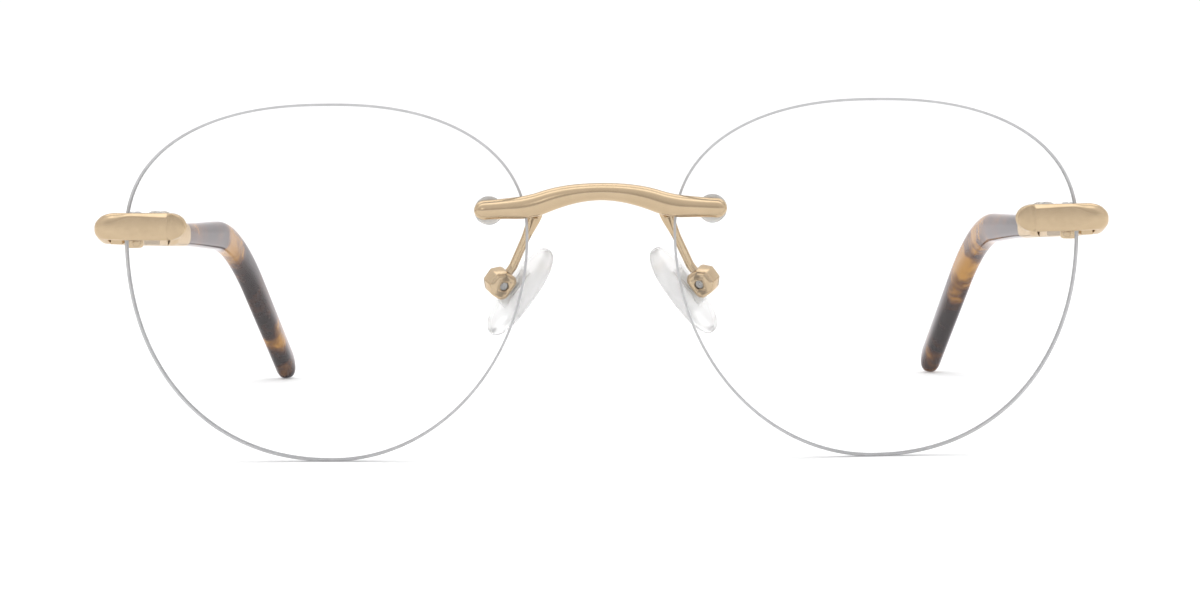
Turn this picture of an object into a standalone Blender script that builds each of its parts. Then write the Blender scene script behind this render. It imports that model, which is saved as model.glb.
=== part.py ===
"""Rimless eyeglasses, 51-18-140, built as an assembly of separate pieces.

Design frame, before the last shift along Y: +X is the wearer's left, -Y is the front that
faces the viewer, +Z is up.  The lens apex lies in the plane y = 0, and the glasses stand open
on z = 0, on the lower edges of both lenses and on both temple tips.  Every piece is drawn for
the wearer's left side and mirrored for the right one.
"""
import math

import bmesh
import bpy
from mathutils import Matrix, Vector

MM = 0.001
Y_AXIS = Vector((0.0, 1.0, 0.0))
Z_AXIS = Vector((0.0, 0.0, 1.0))
SIDES = (("left", 1), ("right", -1))
GAP = 0.05 * MM             # between metal faces that touch
FRONT_Y = -70.68 * MM       # the lens apex, which puts the origin in the middle of the box

# Lens: four superellipse quarters that meet at the widest point
BRIDGE_WIDTH = 18.3 * MM    # between the two lenses
NASAL_HALF = 25.25 * MM      # the widest point to the nasal edge
TEMPORAL_HALF = 26.1 * MM   # the widest point to the temporal edge: 51.35 mm in all
UPPER_HEIGHT = 16.75 * MM
LOWER_HEIGHT = 28.7 * MM
UPPER_NASAL_POWER = 2.28
UPPER_TEMPORAL_POWER = 2.31
LOWER_NASAL_POWER = 1.99
LOWER_TEMPORAL_POWER = 2.19
LENS_RADIUS = 125.0 * MM    # base curve of the front surface
LENS_THICKNESS = 2.0 * MM
LENS_APEX = Vector((24.0 * MM, 0.0, 30.0 * MM))
LENS_CENTRE = Vector((BRIDGE_WIDTH / 2 + NASAL_HALF, 0.0, LOWER_HEIGHT))
LENS_STEPS = 48

# Screw mounts through the lens: the hole's x and z, and the stack from front to back
NASAL_HOLE = (14.05 * MM, 31.85 * MM)
TEMPORAL_HOLE = (56.2 * MM, 30.3 * MM)
STUD_RADIUS = 0.60 * MM
CLEAR_RADIUS = 0.66 * MM    # bores that the stud passes through
SOCKET_DEPTH = 0.8 * MM     # of the stud in its bar
BUSH_RADIUS = 0.90 * MM
LENS_HOLE_RADIUS = 0.96 * MM
FRONT_WASHER = (1.82 * MM, 0.50 * MM)     # radius, thickness
BUSH_FLANGE = (1.70 * MM, 0.40 * MM)
REAR_WASHER = (1.45 * MM, 0.25 * MM)
NUT_FLATS = 2.5 * MM
NUT_HEIGHT = 1.4 * MM
STUD_PROUD = 0.4 * MM
ROUND_STEPS = 12

# Bridge: a half-round bar, flat at the back, with one central arch and drooping ends
BRIDGE_HALF = 15.85 * MM
BRIDGE_TOP_Z = 34.1 * MM    # of the bar's middle line, at the top of the arch
BRIDGE_HEIGHTS = ((0.0, 2.2 * MM), (8.8 * MM, 2.88 * MM), (14.0 * MM, 2.5 * MM))
BRIDGE_DEPTH = 1.9 * MM
BRIDGE_BACK_Y = -0.36 * MM
ARCH_RADIUS = 21.0 * MM
ARCH_TURN = math.radians(20.0)
FOOT_RADIUS = 11.6 * MM     # of the reverse arc between arch and end
END_DROOP = math.radians(2.9)

# End piece: a bar on the lens that wraps back to the hinge
ENDPIECE_HEIGHT = 3.45 * MM
ENDPIECE_THICKNESS = 1.8 * MM
ENDPIECE_BACK_HEIGHT = 3.0 * MM  # behind the corner, as the temple's
ENDPIECE_Z = 30.15 * MM
ENDPIECE_NOSE = 4.3 * MM    # from the hole to the inner end
NOSE_RECESS = 0.9 * MM       # of the nose's tip behind the bar's front
OUTER_X = 64.4 * MM         # half of the overall width
BUTT_Y = 10.8 * MM          # where end piece and temple meet

# Hinge: three knuckles on a vertical screw
HINGE_AXIS = Vector((60.0 * MM, 11.8 * MM, 29.2 * MM))
KNUCKLE_RADIUS = 1.2 * MM
BARREL_HEIGHT = 4.2 * MM
MIDDLE_KNUCKLE = 1.2 * MM
HINGE_WASHER = 0.20 * MM
HINGE_SCREW_RADIUS = 0.50 * MM
HINGE_BORE_RADIUS = 0.57 * MM
LEAF_INNER_X = 61.05 * MM
LEAF_HALF_HEIGHT = 1.45 * MM

# Temple: metal arm, ferrule and acetate tip on one centre line
TEMPLE_FRONT = Vector((OUTER_X - 0.9 * MM, BUTT_Y + 0.15 * MM, 29.2 * MM))
TEMPLE_SHOULDER = Vector((OUTER_X - 0.9 * MM, 18.0 * MM, 28.8 * MM))
TEMPLE_BEND = Vector((57.0 * MM, 109.0 * MM, 24.4 * MM))
TEMPLE_END = Vector((51.8 * MM, 143.0 * MM, 1.35 * MM))
TIP_ROLL = math.radians(14.0)  # the tip's inner face turns forward towards its end
BEND_RADIUS = 55.0 * MM
ARM_LENGTH = 42.0 * MM
FERRULE_LENGTH = 12.0 * MM
ARM_THICKNESS = 1.3 * MM
ARM_HEIGHT = 3.3 * MM
CORE_SIZE = (1.1 * MM, 1.5 * MM)
CORE_CLEARANCE = 0.15 * MM
CORE_STOP = 10.0 * MM       # from the core's end to the tip's end

# Nose pad: its box, screw, insert and pad share one frame on the rocking axis
PAD_AXIS_POINT = Vector((12.8 * MM, 6.0 * MM, 22.35 * MM))
PAD_FRONTAL_ANGLE = math.radians(36.0)
PAD_SPLAY_ANGLE = math.radians(24.0)
PAD_HALF = (6.5 * MM, 3.8 * MM, 1.3 * MM)     # half length, width and thickness
PAD_OFFSET = 2.85 * MM      # from the axis to the pad's middle plane
PAD_SHIFT = 0.5 * MM        # of the pad up along its length
BOX_OUTLINE = (             # along the pad and towards the nose
    (1.75 * MM, 0.75 * MM), (1.20 * MM, 1.30 * MM), (-1.20 * MM, 1.30 * MM), (-1.75 * MM, 0.75 * MM),
    (-1.75 * MM, -0.75 * MM), (-0.80 * MM, -1.75 * MM), (0.80 * MM, -1.75 * MM),
    (1.75 * MM, -0.75 * MM))
BOX_HALF_WIDTH = 1.6 * MM   # along the rocking axis
BOX_CHAMFER = 0.4 * MM
PAD_ARM_RADII = ((3.0 * MM, 0.58 * MM), (4.2 * MM, 0.85 * MM), (8.0 * MM, 0.55 * MM))


# ---------------------------------------------------------------- scene helpers

def clear_scene():
    for old in list(bpy.data.objects):
        bpy.data.objects.remove(old, do_unlink=True)


def make_material(name, colour, roughness, metallic, alpha=1.0):
    material = bpy.data.materials.new(name)
    material.use_nodes = True
    shader = material.node_tree.nodes["Principled BSDF"]
    shader.inputs["Base Color"].default_value = (*colour, 1.0)
    shader.inputs["Roughness"].default_value = roughness
    shader.inputs["Metallic"].default_value = metallic
    shader.inputs["Alpha"].default_value = alpha
    return material


class Holder:
    """An empty that carries pieces, with its own place in the design frame."""

    def __init__(self, name, pivot, parent=None):
        self.pivot = Vector(pivot)
        self.empty = bpy.data.objects.new(name, None)
        bpy.context.collection.objects.link(self.empty)
        if parent is None:
            self.empty.location = self.pivot + Vector((0.0, FRONT_Y, 0.0))
        else:
            self.empty.parent = parent.empty
            self.empty.location = self.pivot - parent.pivot


def add_piece(name, shape, holder, material, side=1):
    """Mirror a shape that was drawn for the wearer's left, and hang it on its holder."""
    if side < 0:
        for vertex in shape.verts:
            vertex.co.x = -vertex.co.x
    bmesh.ops.recalc_face_normals(shape, faces=shape.faces)
    if shape.calc_volume(signed=True) < 0.0:
        bmesh.ops.reverse_faces(shape, faces=shape.faces)
    for vertex in shape.verts:
        vertex.co -= holder.pivot
    mesh = bpy.data.meshes.new(name)
    shape.to_mesh(mesh)
    shape.free()
    mesh.shade_smooth()
    mesh.set_sharp_from_angle(angle=math.radians(35.0))
    piece = bpy.data.objects.new(name, mesh)
    piece.data.materials.append(material)
    piece.parent = holder.empty
    bpy.context.collection.objects.link(piece)
    return piece


def combine(piece, shape, operation, holder, side):
    """Cut a shape out of a piece, or join it on, with a Boolean."""
    number = len(piece.modifiers) + 1
    tool = add_piece(f"{piece.name}_{operation.lower()}_{number}", shape, holder,
                     piece.data.materials[0], side)
    tool.hide_render = True
    tool.display_type = "WIRE"
    modifier = piece.modifiers.new(tool.name, "BOOLEAN")
    modifier.operation = operation
    modifier.solver = "EXACT"
    modifier.object = tool


# ---------------------------------------------------------------- shape helpers

def loft(rings, loop=False):
    """Skin a list of rings.  The ends are capped, or joined to each other in a loop."""
    shape = bmesh.new()
    rows = [[shape.verts.new(point) for point in ring] for ring in rings]
    pairs = list(zip(rows, rows[1:]))
    if loop:
        pairs.append((rows[-1], rows[0]))
    for row, following in pairs:
        for i in range(len(row)):
            shape.faces.new((row[i - 1], row[i], following[i], following[i - 1]))
    if not loop:
        shape.faces.new(rows[0])
        shape.faces.new(rows[-1])
    return shape


def frame_at(origin, direction, guide=Z_AXIS):
    """A frame whose third axis is the direction; its second axis leans to the guide."""
    third = direction.normalized()
    second = (guide - guide.dot(third) * third).normalized()
    first = second.cross(third)
    frame = Matrix((first, second, third)).transposed().to_4x4()
    frame.translation = origin
    return frame


def circle(frame, radius, height, steps=ROUND_STEPS):
    ring = []
    for i in range(steps):
        angle = math.tau * (i + 0.5) / steps
        ring.append(frame @ Vector((radius * math.cos(angle), radius * math.sin(angle), height)))
    return ring


def turned(frame, profile, steps=ROUND_STEPS):
    """A solid turned piece from (radius, height) pairs along the frame's third axis."""
    return loft([circle(frame, radius, height, steps) for radius, height in profile])


def turned_ring(frame, bore, profile, steps=ROUND_STEPS):
    """A turned piece with a through bore."""
    outer = [circle(frame, radius, height, steps) for radius, height in profile]
    inner = [circle(frame, bore, height, steps) for height in (profile[-1][1], profile[0][1])]
    return loft(outer + inner, loop=True)


def block(frame, lowest, highest):
    """A box between two corners given in the frame's own axes."""
    shape = bmesh.new()
    bmesh.ops.create_cube(shape, size=1.0)
    lowest = Vector(lowest)
    highest = Vector(highest)
    for vertex in shape.verts:
        share = vertex.co + Vector((0.5, 0.5, 0.5))
        vertex.co = lowest + Vector([(highest - lowest)[k] * share[k] for k in range(3)])
    shape.transform(frame)
    return shape


def oval(width, height, power=2.0, steps=16):
    """Points of a superellipse; power 2 is an ellipse and larger powers are squarer."""
    points = []
    for i in range(steps):
        angle = math.tau * (i + 0.5) / steps
        across = math.copysign(abs(math.cos(angle)) ** (2.0 / power), math.cos(angle))
        up = math.copysign(abs(math.sin(angle)) ** (2.0 / power), math.sin(angle))
        points.append((width / 2 * across, height / 2 * up))
    return points


def rounded_path(corners, radii, arc_steps=12):
    """A line through the corners, with each inner corner rounded to its radius."""
    path = [corners[0]]
    for before, corner, after, radius in zip(corners, corners[1:], corners[2:], radii):
        inward = (before - corner).normalized()
        outward = (after - corner).normalized()
        half_angle = inward.angle(outward) / 2
        reach = radius / math.tan(half_angle)
        centre = corner + (inward + outward).normalized() * (radius / math.sin(half_angle))
        start = corner + inward * reach - centre
        stop = corner + outward * reach - centre
        for k in range(arc_steps + 1):
            path.append(centre + start.slerp(stop, k / arc_steps).normalized() * radius)
    path.append(corners[-1])
    return path


def path_length(path):
    return sum((b - a).length for a, b in zip(path, path[1:]))


def point_at(path, distance):
    for a, b in zip(path, path[1:]):
        step = (b - a).length
        if distance <= step:
            return a.lerp(b, distance / step)
        distance -= step
    return path[-1] + (path[-1] - path[-2]).normalized() * distance


def swept_rings(path, distances, section):
    """Rings across a path: section gives (inward, up) offsets at each distance."""
    rings = []
    probe = 0.05 * MM
    for distance in distances:
        point = point_at(path, distance)
        tangent = point_at(path, distance + probe) - point_at(path, max(distance - probe, 0.0))
        frame = frame_at(point, tangent)
        rings.append([frame @ Vector((inward, up, 0.0)) for inward, up in section(distance)])
    return rings


def rolled(points, angle):
    """Turn a section about its path."""
    return [(across * math.cos(angle) - up * math.sin(angle),
             across * math.sin(angle) + up * math.cos(angle)) for across, up in points]


def spread(start, stop, count):
    return [start + (stop - start) * k / (count - 1) for k in range(count)]


def rounded_end(distance, length):
    """Size of a section near a rounded end, from 0 at the end itself to 1."""
    share = min(max(distance / length, 0.0), 1.0)
    return math.sqrt(1.0 - (1.0 - share) ** 2)


def between(distance, stations):
    """Read a value from (distance, value) pairs, easing from each to the next."""
    if distance <= stations[0][0]:
        return stations[0][1]
    for (start, first), (stop, second) in zip(stations, stations[1:]):
        if distance <= stop:
            share = (distance - start) / (stop - start)
            return first + (second - first) * share * share * (3.0 - 2.0 * share)
    return stations[-1][1]


# ---------------------------------------------------------------- lens

def lens_outline(angle, scale=1.0):
    """A point of the lens outline, as x and z, seen from the front."""
    across = math.cos(angle)
    up = math.sin(angle)
    half_width = TEMPORAL_HALF if across > 0 else NASAL_HALF
    height = UPPER_HEIGHT if up > 0 else LOWER_HEIGHT
    if up > 0:
        power = UPPER_TEMPORAL_POWER if across > 0 else UPPER_NASAL_POWER
    else:
        power = LOWER_TEMPORAL_POWER if across > 0 else LOWER_NASAL_POWER
    share = (abs(across / half_width) ** power + abs(up / height) ** power) ** (-1.0 / power)
    return LENS_CENTRE.x + scale * share * across, LENS_CENTRE.z + scale * share * up


def lens_front(x, z):
    """The point of the front surface at x and z."""
    rise = (x - LENS_APEX.x) ** 2 + (z - LENS_APEX.z) ** 2
    return Vector((x, LENS_RADIUS - math.sqrt(LENS_RADIUS ** 2 - rise), z))


def lens_backward(point):
    """The direction from a point of the front surface into the lens."""
    return (LENS_APEX + LENS_RADIUS * Y_AXIS - point).normalized()


def hole_frame(hole):
    """A frame on the front surface at a hole; its third axis runs back through the lens."""
    point = lens_front(*hole)
    return frame_at(point, lens_backward(point))


def lens_shape():
    offset = Y_AXIS * LENS_THICKNESS
    angles = [math.tau * k / LENS_STEPS for k in range(LENS_STEPS)]
    front = [[lens_front(*lens_outline(angle, scale)) for angle in angles]
             for scale in (0.3, 0.6, 0.8, 0.9, 1.0)]
    back = [[point + offset for point in ring] for ring in reversed(front)]
    return loft(front + back)


def make_lens(side_name, side, front, glass):
    lens = add_piece(f"lens_{side_name}", lens_shape(), front, glass, side)
    for hole in (NASAL_HOLE, TEMPORAL_HOLE):
        drill = turned(hole_frame(hole), [(LENS_HOLE_RADIUS, -1.0 * MM), (LENS_HOLE_RADIUS, 4.0 * MM)])
        combine(lens, drill, "DIFFERENCE", front, side)


# ---------------------------------------------------------------- screw mounts

def make_mount(prefix, side_name, side, hole, front, materials):
    """Washer, bush, rear washer, nut and stud of one hole through the lens."""
    frame = hole_frame(hole)
    washer_front = -FRONT_WASHER[1] - GAP
    flange_front = LENS_THICKNESS + GAP
    flange_back = flange_front + BUSH_FLANGE[1]
    rear_front = flange_back + GAP
    rear_back = rear_front + REAR_WASHER[1]
    nut_front = rear_back + GAP
    nut_back = nut_front + NUT_HEIGHT
    shapes = {
        "front_washer": turned_ring(frame, CLEAR_RADIUS, [
            (FRONT_WASHER[0], washer_front), (FRONT_WASHER[0], -GAP)]),
        "lens_bush": turned_ring(frame, CLEAR_RADIUS, [
            (BUSH_RADIUS, GAP), (BUSH_RADIUS, flange_front),
            (BUSH_FLANGE[0], flange_front), (BUSH_FLANGE[0], flange_back)]),
        "rear_washer": turned_ring(frame, CLEAR_RADIUS, [
            (REAR_WASHER[0], rear_front), (REAR_WASHER[0], rear_back)]),
        "nut": nut_shape(frame, nut_front, nut_back),
        "stud": turned(frame, [
            (STUD_RADIUS, washer_front - SOCKET_DEPTH), (STUD_RADIUS, nut_back + STUD_PROUD / 2),
            (STUD_RADIUS * 0.7, nut_back + STUD_PROUD)]),
    }
    for part, shape in shapes.items():
        add_piece(f"{prefix}_{part}_{side_name}", shape, front, materials[part], side)


def nut_shape(frame, start, stop):
    """A hexagon nut: twelve-step rings whose even points lie on the corners."""
    corner = NUT_FLATS / math.sqrt(3.0)
    outline = []
    for k in range(ROUND_STEPS):
        reach = corner if k % 2 == 0 else corner * math.cos(math.pi / 6)
        angle = math.tau * k / ROUND_STEPS
        outline.append((reach * math.cos(angle), reach * math.sin(angle)))
    bore = [(CLEAR_RADIUS * math.cos(math.tau * k / ROUND_STEPS),
             CLEAR_RADIUS * math.sin(math.tau * k / ROUND_STEPS)) for k in range(ROUND_STEPS)]
    levels = ((outline, 1.0, start), (outline, 1.0, stop - 0.25 * MM), (outline, 0.86, stop),
              (bore, 1.0, stop), (bore, 1.0, start))
    rings = []
    for points, scale, height in levels:
        rings.append([frame @ Vector((x * scale, y * scale, height)) for x, y in points])
    return loft(rings, loop=True)


def cut_stud_socket(piece, hole, front, side):
    """A blind socket in a bar, which the stud is brazed into."""
    deep = -FRONT_WASHER[1] - SOCKET_DEPTH - 3 * GAP
    socket = turned(hole_frame(hole), [(CLEAR_RADIUS, deep), (CLEAR_RADIUS, 1.0 * MM)])
    combine(piece, socket, "DIFFERENCE", front, side)


# ---------------------------------------------------------------- bridge

def bridge_path():
    """Half arch, reverse arc and drooping end on each side, in the bar's back plane."""
    half = []
    for k in range(6):
        angle = ARCH_TURN * k / 5
        half.append((ARCH_RADIUS * math.sin(angle),
                     BRIDGE_TOP_Z - ARCH_RADIUS * (1.0 - math.cos(angle))))
    foot_x, foot_z = half[-1]
    for k in range(1, 5):
        angle = ARCH_TURN + (END_DROOP - ARCH_TURN) * k / 4
        half.append((foot_x + FOOT_RADIUS * (math.sin(ARCH_TURN) - math.sin(angle)),
                     foot_z + FOOT_RADIUS * (math.cos(ARCH_TURN) - math.cos(angle))))
    end_x, end_z = half[-1]
    half.append((BRIDGE_HALF, end_z - (BRIDGE_HALF - end_x) * math.tan(END_DROOP)))
    points = [(-x, z) for x, z in reversed(half[1:])] + half
    return [Vector((x, BRIDGE_BACK_Y, z)) for x, z in points]


def half_round(depth, height, steps=9):
    """A flat back at 0 and a crowned front towards -Y."""
    points = []
    for k in range(steps):
        angle = math.pi * k / (steps - 1)
        points.append((-depth * math.sin(angle) ** 0.9, -height / 2 * math.cos(angle)))
    return points


def make_bridge(front, gold):
    path = bridge_path()
    length = path_length(path)
    end_radius = BRIDGE_HEIGHTS[-1][1] / 2
    inset = 0.02 * MM
    distances = [inset, 0.25 * end_radius, 0.6 * end_radius, end_radius]
    distances += spread(3.0 * MM, length / 2, 12)
    distances += [length - distance for distance in reversed(distances[:-1])]

    def section(distance):
        size = rounded_end(min(distance, length - distance), end_radius)
        height = between(abs(distance - length / 2), BRIDGE_HEIGHTS)
        return half_round(BRIDGE_DEPTH * (0.35 + 0.65 * size), height * size)

    bridge = add_piece("bridge", loft(swept_rings(path, distances, section)), front, gold)
    for _, side in SIDES:
        cut_stud_socket(bridge, NASAL_HOLE, front, side)


# ---------------------------------------------------------------- end piece

def endpiece_path():
    """Along the lens front, round the corner, and back to the temple."""
    frame = hole_frame(TEMPORAL_HOLE)
    backward = frame.col[2].to_3d()
    along = Vector((backward.y, -backward.x, 0.0)).normalized()
    lift = FRONT_WASHER[1] + 2.5 * GAP + ENDPIECE_THICKNESS / 2
    middle = frame.translation - backward * lift
    middle.z = ENDPIECE_Z
    nose = middle - along * ENDPIECE_NOSE
    reach = (TEMPLE_FRONT.x - middle.x) / along.x
    corner = middle + along * reach
    corner.z = ENDPIECE_Z
    level = Vector((TEMPLE_FRONT.x, BUTT_Y - 2.0 * MM, TEMPLE_FRONT.z))
    end = Vector((TEMPLE_FRONT.x, BUTT_Y, TEMPLE_FRONT.z))
    return rounded_path([nose, corner, level, end], [2.4 * MM, 8.0 * MM])


def bar_section(front, back, height, bevel, bevel_round, back_round, arc_steps):
    """A bar's section from -front to back: two bevels in front and two rounds behind."""
    half = height / 2
    corners = [Vector((across, up, 0.0)) for across, up in (
        (back, 0.0), (back, half), (bevel - front, half), (-front, half - bevel),
        (-front, bevel - half), (bevel - front, -half), (back, -half), (back, 0.0))]
    radii = [back_round] + [bevel_round] * 4 + [back_round]
    return [(point.x, point.y) for point in rounded_path(corners, radii, arc_steps)[:-1]]


def make_endpiece(side_name, side, front, gold):
    """A bevelled bar, with a round nose that slopes back from a crease."""
    path = endpiece_path()
    length = path_length(path)
    cone = 2.1 * MM
    corner = (path[1] - path[0]).length
    distances = [0.02 * MM, 0.15 * MM, 0.45 * MM, 1.0 * MM, cone, 3.5 * MM, 5.0 * MM]
    distances += spread(7.0 * MM, length, 13)

    def section(distance):
        height = rounded_end(distance, cone) * between(distance, [
            (corner, ENDPIECE_HEIGHT), (corner + 3.0 * MM, ENDPIECE_BACK_HEIGHT)])
        half = ENDPIECE_THICKNESS / 2
        slope = NOSE_RECESS * max(1.0 - distance / cone, 0.0)
        bevel = between(distance, [(cone - 0.4 * MM, 0.10 * MM), (cone, 0.55 * MM),
                                   (corner - 2.5 * MM, 0.40 * MM), (corner + 0.5 * MM, 0.85 * MM)])
        bevel_round = between(distance, [(cone - 0.4 * MM, 0.05 * MM), (cone, 0.20 * MM),
                                         (corner - 2.5 * MM, 0.30 * MM), (corner + 0.5 * MM, 1.20 * MM)])
        back_round = between(distance, [(0.0, 0.10 * MM), (cone, 0.25 * MM)])
        return bar_section(half - slope, half, height, bevel, bevel_round, back_round, 2)

    endpiece = add_piece(f"endpiece_{side_name}", loft(swept_rings(path, distances, section)),
                         front, gold, side)
    cut_stud_socket(endpiece, TEMPORAL_HOLE, front, side)


# ---------------------------------------------------------------- hinge

def hinge_frame():
    return Matrix.Translation(HINGE_AXIS)


def knuckle(low, high):
    return turned(hinge_frame(), [(KNUCKLE_RADIUS, low), (KNUCKLE_RADIUS, high)], steps=16)


def domed_knuckle(low, high):
    """A knuckle whose lower end is a shallow dome."""
    return turned(hinge_frame(), [
        (0.70 * KNUCKLE_RADIUS, low), (0.92 * KNUCKLE_RADIUS, low + 0.20 * MM),
        (KNUCKLE_RADIUS, low + 0.55 * MM), (KNUCKLE_RADIUS, high)], steps=16)


def leaf_block(x, y, z):
    """A block given by its x, y and z spans in the design frame, with z from the hinge's middle."""
    low = (x[0], y[0], HINGE_AXIS.z + z[0])
    high = (x[1], y[1], HINGE_AXIS.z + z[1])
    return block(Matrix.Identity(4), low, high)


def make_hinge(side_name, side, front, temple, gold, steel, nylon):
    half = BARREL_HEIGHT / 2
    outer_low = MIDDLE_KNUCKLE / 2 + HINGE_WASHER + 2 * GAP
    plate_x = (LEAF_INNER_X, OUTER_X - ENDPIECE_THICKNESS - GAP)
    web_x = (HINGE_AXIS.x, LEAF_INNER_X + 0.7 * MM)
    plate_z = (-LEAF_HALF_HEIGHT, LEAF_HALF_HEIGHT)

    front_leaf = add_piece(
        f"hinge_front_leaf_{side_name}",
        leaf_block(plate_x, (7.6 * MM, BUTT_Y - 0.35 * MM), plate_z), front, gold, side)
    for low, high, barrel in ((-half, -outer_low, domed_knuckle), (outer_low, half, knuckle)):
        web_z = (max(low, -LEAF_HALF_HEIGHT), min(high, LEAF_HALF_HEIGHT))
        combine(front_leaf, leaf_block(web_x, (10.0 * MM, HINGE_AXIS.y), web_z),
                "UNION", front, side)
        combine(front_leaf, barrel(low, high), "UNION", front, side)

    temple_leaf = add_piece(
        f"hinge_temple_leaf_{side_name}",
        leaf_block(plate_x, (13.1 * MM, 17.6 * MM), plate_z), temple, gold, side)
    middle = (-MIDDLE_KNUCKLE / 2, MIDDLE_KNUCKLE / 2)
    combine(temple_leaf, leaf_block(web_x, (HINGE_AXIS.y, 13.6 * MM), middle),
            "UNION", temple, side)
    combine(temple_leaf, knuckle(*middle), "UNION", temple, side)

    for leaf, holder in ((front_leaf, front), (temple_leaf, temple)):
        bore = turned(hinge_frame(), [(HINGE_BORE_RADIUS, -3.0 * MM), (HINGE_BORE_RADIUS, 3.0 * MM)])
        combine(leaf, bore, "DIFFERENCE", holder, side)

    for level, low in (("upper", MIDDLE_KNUCKLE / 2 + GAP),
                       ("lower", -MIDDLE_KNUCKLE / 2 - GAP - HINGE_WASHER)):
        washer = turned_ring(hinge_frame(), HINGE_BORE_RADIUS, [
            (KNUCKLE_RADIUS, low), (KNUCKLE_RADIUS, low + HINGE_WASHER)])
        add_piece(f"hinge_washer_{level}_{side_name}", washer, front, nylon, side)

    head_low = half + GAP
    screw = add_piece(f"hinge_screw_{side_name}", turned(hinge_frame(), [
        (HINGE_SCREW_RADIUS, -half + 0.1 * MM), (HINGE_SCREW_RADIUS, head_low),
        (0.95 * MM, head_low), (0.95 * MM, head_low + 0.25 * MM),
        (0.75 * MM, head_low + 0.40 * MM)]), front, steel, side)
    slot = leaf_block((HINGE_AXIS.x - 0.12 * MM, HINGE_AXIS.x + 0.12 * MM),
                      (HINGE_AXIS.y - 1.2 * MM, HINGE_AXIS.y + 1.2 * MM),
                      (head_low + 0.20 * MM, head_low + 1.0 * MM))
    combine(screw, slot, "DIFFERENCE", front, side)


# ---------------------------------------------------------------- temple

def temple_path():
    return rounded_path([TEMPLE_FRONT, TEMPLE_SHOULDER, TEMPLE_BEND, TEMPLE_END],
                        [20.0 * MM, BEND_RADIUS])


def tip_roll(distance):
    return between(distance, [(95.0 * MM, 0.0), (135.0 * MM, TIP_ROLL)])


def make_temple_arm(side_name, side, path, temple, gold):
    """Hinge block, flat arm and the core wire that runs on inside ferrule and tip."""
    length = path_length(path)
    flat = [0.0, 3.0 * MM, 6.4 * MM, 9.0 * MM, 12.0 * MM, 20.0 * MM, 30.0 * MM, ARM_LENGTH]

    def flat_section(distance):
        width = between(distance, [(6.4 * MM, ENDPIECE_THICKNESS), (12.0 * MM, ARM_THICKNESS)])
        height = between(distance, [(6.0 * MM, ENDPIECE_BACK_HEIGHT), (20.0 * MM, ARM_HEIGHT)])
        power = between(distance, [(0.0, 2.3), (12.0 * MM, 5.0)])
        return oval(width, height, power, 12)

    def core_section(distance):
        return rolled(oval(*CORE_SIZE, 4.0, 12), tip_roll(distance))

    core = spread(ARM_LENGTH + 0.3 * MM, length - CORE_STOP, 22)
    rings = swept_rings(path, flat, flat_section) + swept_rings(path, core, core_section)
    add_piece(f"temple_arm_{side_name}", loft(rings), temple, gold, side)


def core_bore(path, distances):
    """Rings of the bore that the core wire runs through."""
    width = CORE_SIZE[0] + 2 * CORE_CLEARANCE
    height = CORE_SIZE[1] + 2 * CORE_CLEARANCE
    return swept_rings(path, distances,
                       lambda distance: rolled(oval(width, height, 4.0, 12), tip_roll(distance)))


def make_ferrule(side_name, side, path, temple, gold):
    """A collar that thickens from the flat arm to the tip."""
    start = ARM_LENGTH + 0.6 * MM
    stop = start + FERRULE_LENGTH
    distances = [start, start + 1.5 * MM, start + 3.5 * MM, start + 7.5 * MM, stop]

    def section(distance):
        width = between(distance, [(start, 1.9 * MM), (start + 3.5 * MM, 2.9 * MM),
                                   (stop, 3.1 * MM)])
        height = between(distance, [(start, 3.3 * MM), (stop, 3.4 * MM)])
        return oval(width, height, 3.2, 12)

    rings = swept_rings(path, distances, section) + core_bore(path, [stop, start])
    add_piece(f"temple_ferrule_{side_name}", loft(rings, loop=True), temple, gold, side)


def make_tip(side_name, side, path, temple, acetate):
    """The acetate tip: slim at the ferrule, deeper past the bend, with a rounded end."""
    start = ARM_LENGTH + FERRULE_LENGTH + 0.7 * MM
    length = path_length(path)
    end_radius = 2.6 * MM
    distances = spread(start, length - end_radius, 19)
    distances += [length - 0.6 * end_radius, length - 0.25 * end_radius, length - 0.02 * MM]

    def section(distance):
        size = rounded_end(length - distance, end_radius)
        width = between(distance, [(start, 3.0 * MM), (95.0 * MM, 3.2 * MM), (length, 3.3 * MM)])
        height = between(distance, [(start, 3.3 * MM), (95.0 * MM, 4.5 * MM),
                                    (length - 8.0 * MM, 5.6 * MM), (length, 5.4 * MM)])
        points = oval(width * (0.4 + 0.6 * size), height * (0.3 + 0.7 * size), 2.6, 12)
        return rolled(points, tip_roll(distance))

    bore_end = length - CORE_STOP + 0.5 * MM
    outer = swept_rings(path, distances, section)
    inner = core_bore(path, spread(start, bore_end, 18))
    add_piece(f"temple_tip_{side_name}", loft(outer[::-1] + inner), temple, acetate, side)


# ---------------------------------------------------------------- nose pads

def pad_frame():
    """On the rocking axis: first along the pad, second the axis itself, third to the nose."""
    along = Vector((-math.sin(PAD_FRONTAL_ANGLE), 0.0, math.cos(PAD_FRONTAL_ANGLE)))
    outward = Vector((math.cos(PAD_FRONTAL_ANGLE), 0.0, math.sin(PAD_FRONTAL_ANGLE)))
    to_nose = Y_AXIS * math.sin(PAD_SPLAY_ANGLE) - outward * math.cos(PAD_SPLAY_ANGLE)
    axis = to_nose.cross(along)
    frame = Matrix((along, axis, to_nose)).transposed().to_4x4()
    frame.translation = PAD_AXIS_POINT
    return frame


def axis_frame(frame):
    """The pad frame turned so that its third axis is the rocking axis."""
    turned_frame = Matrix((frame.col[2].to_3d(), frame.col[0].to_3d(),
                           frame.col[1].to_3d())).transposed().to_4x4()
    turned_frame.translation = frame.translation
    return turned_frame


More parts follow.
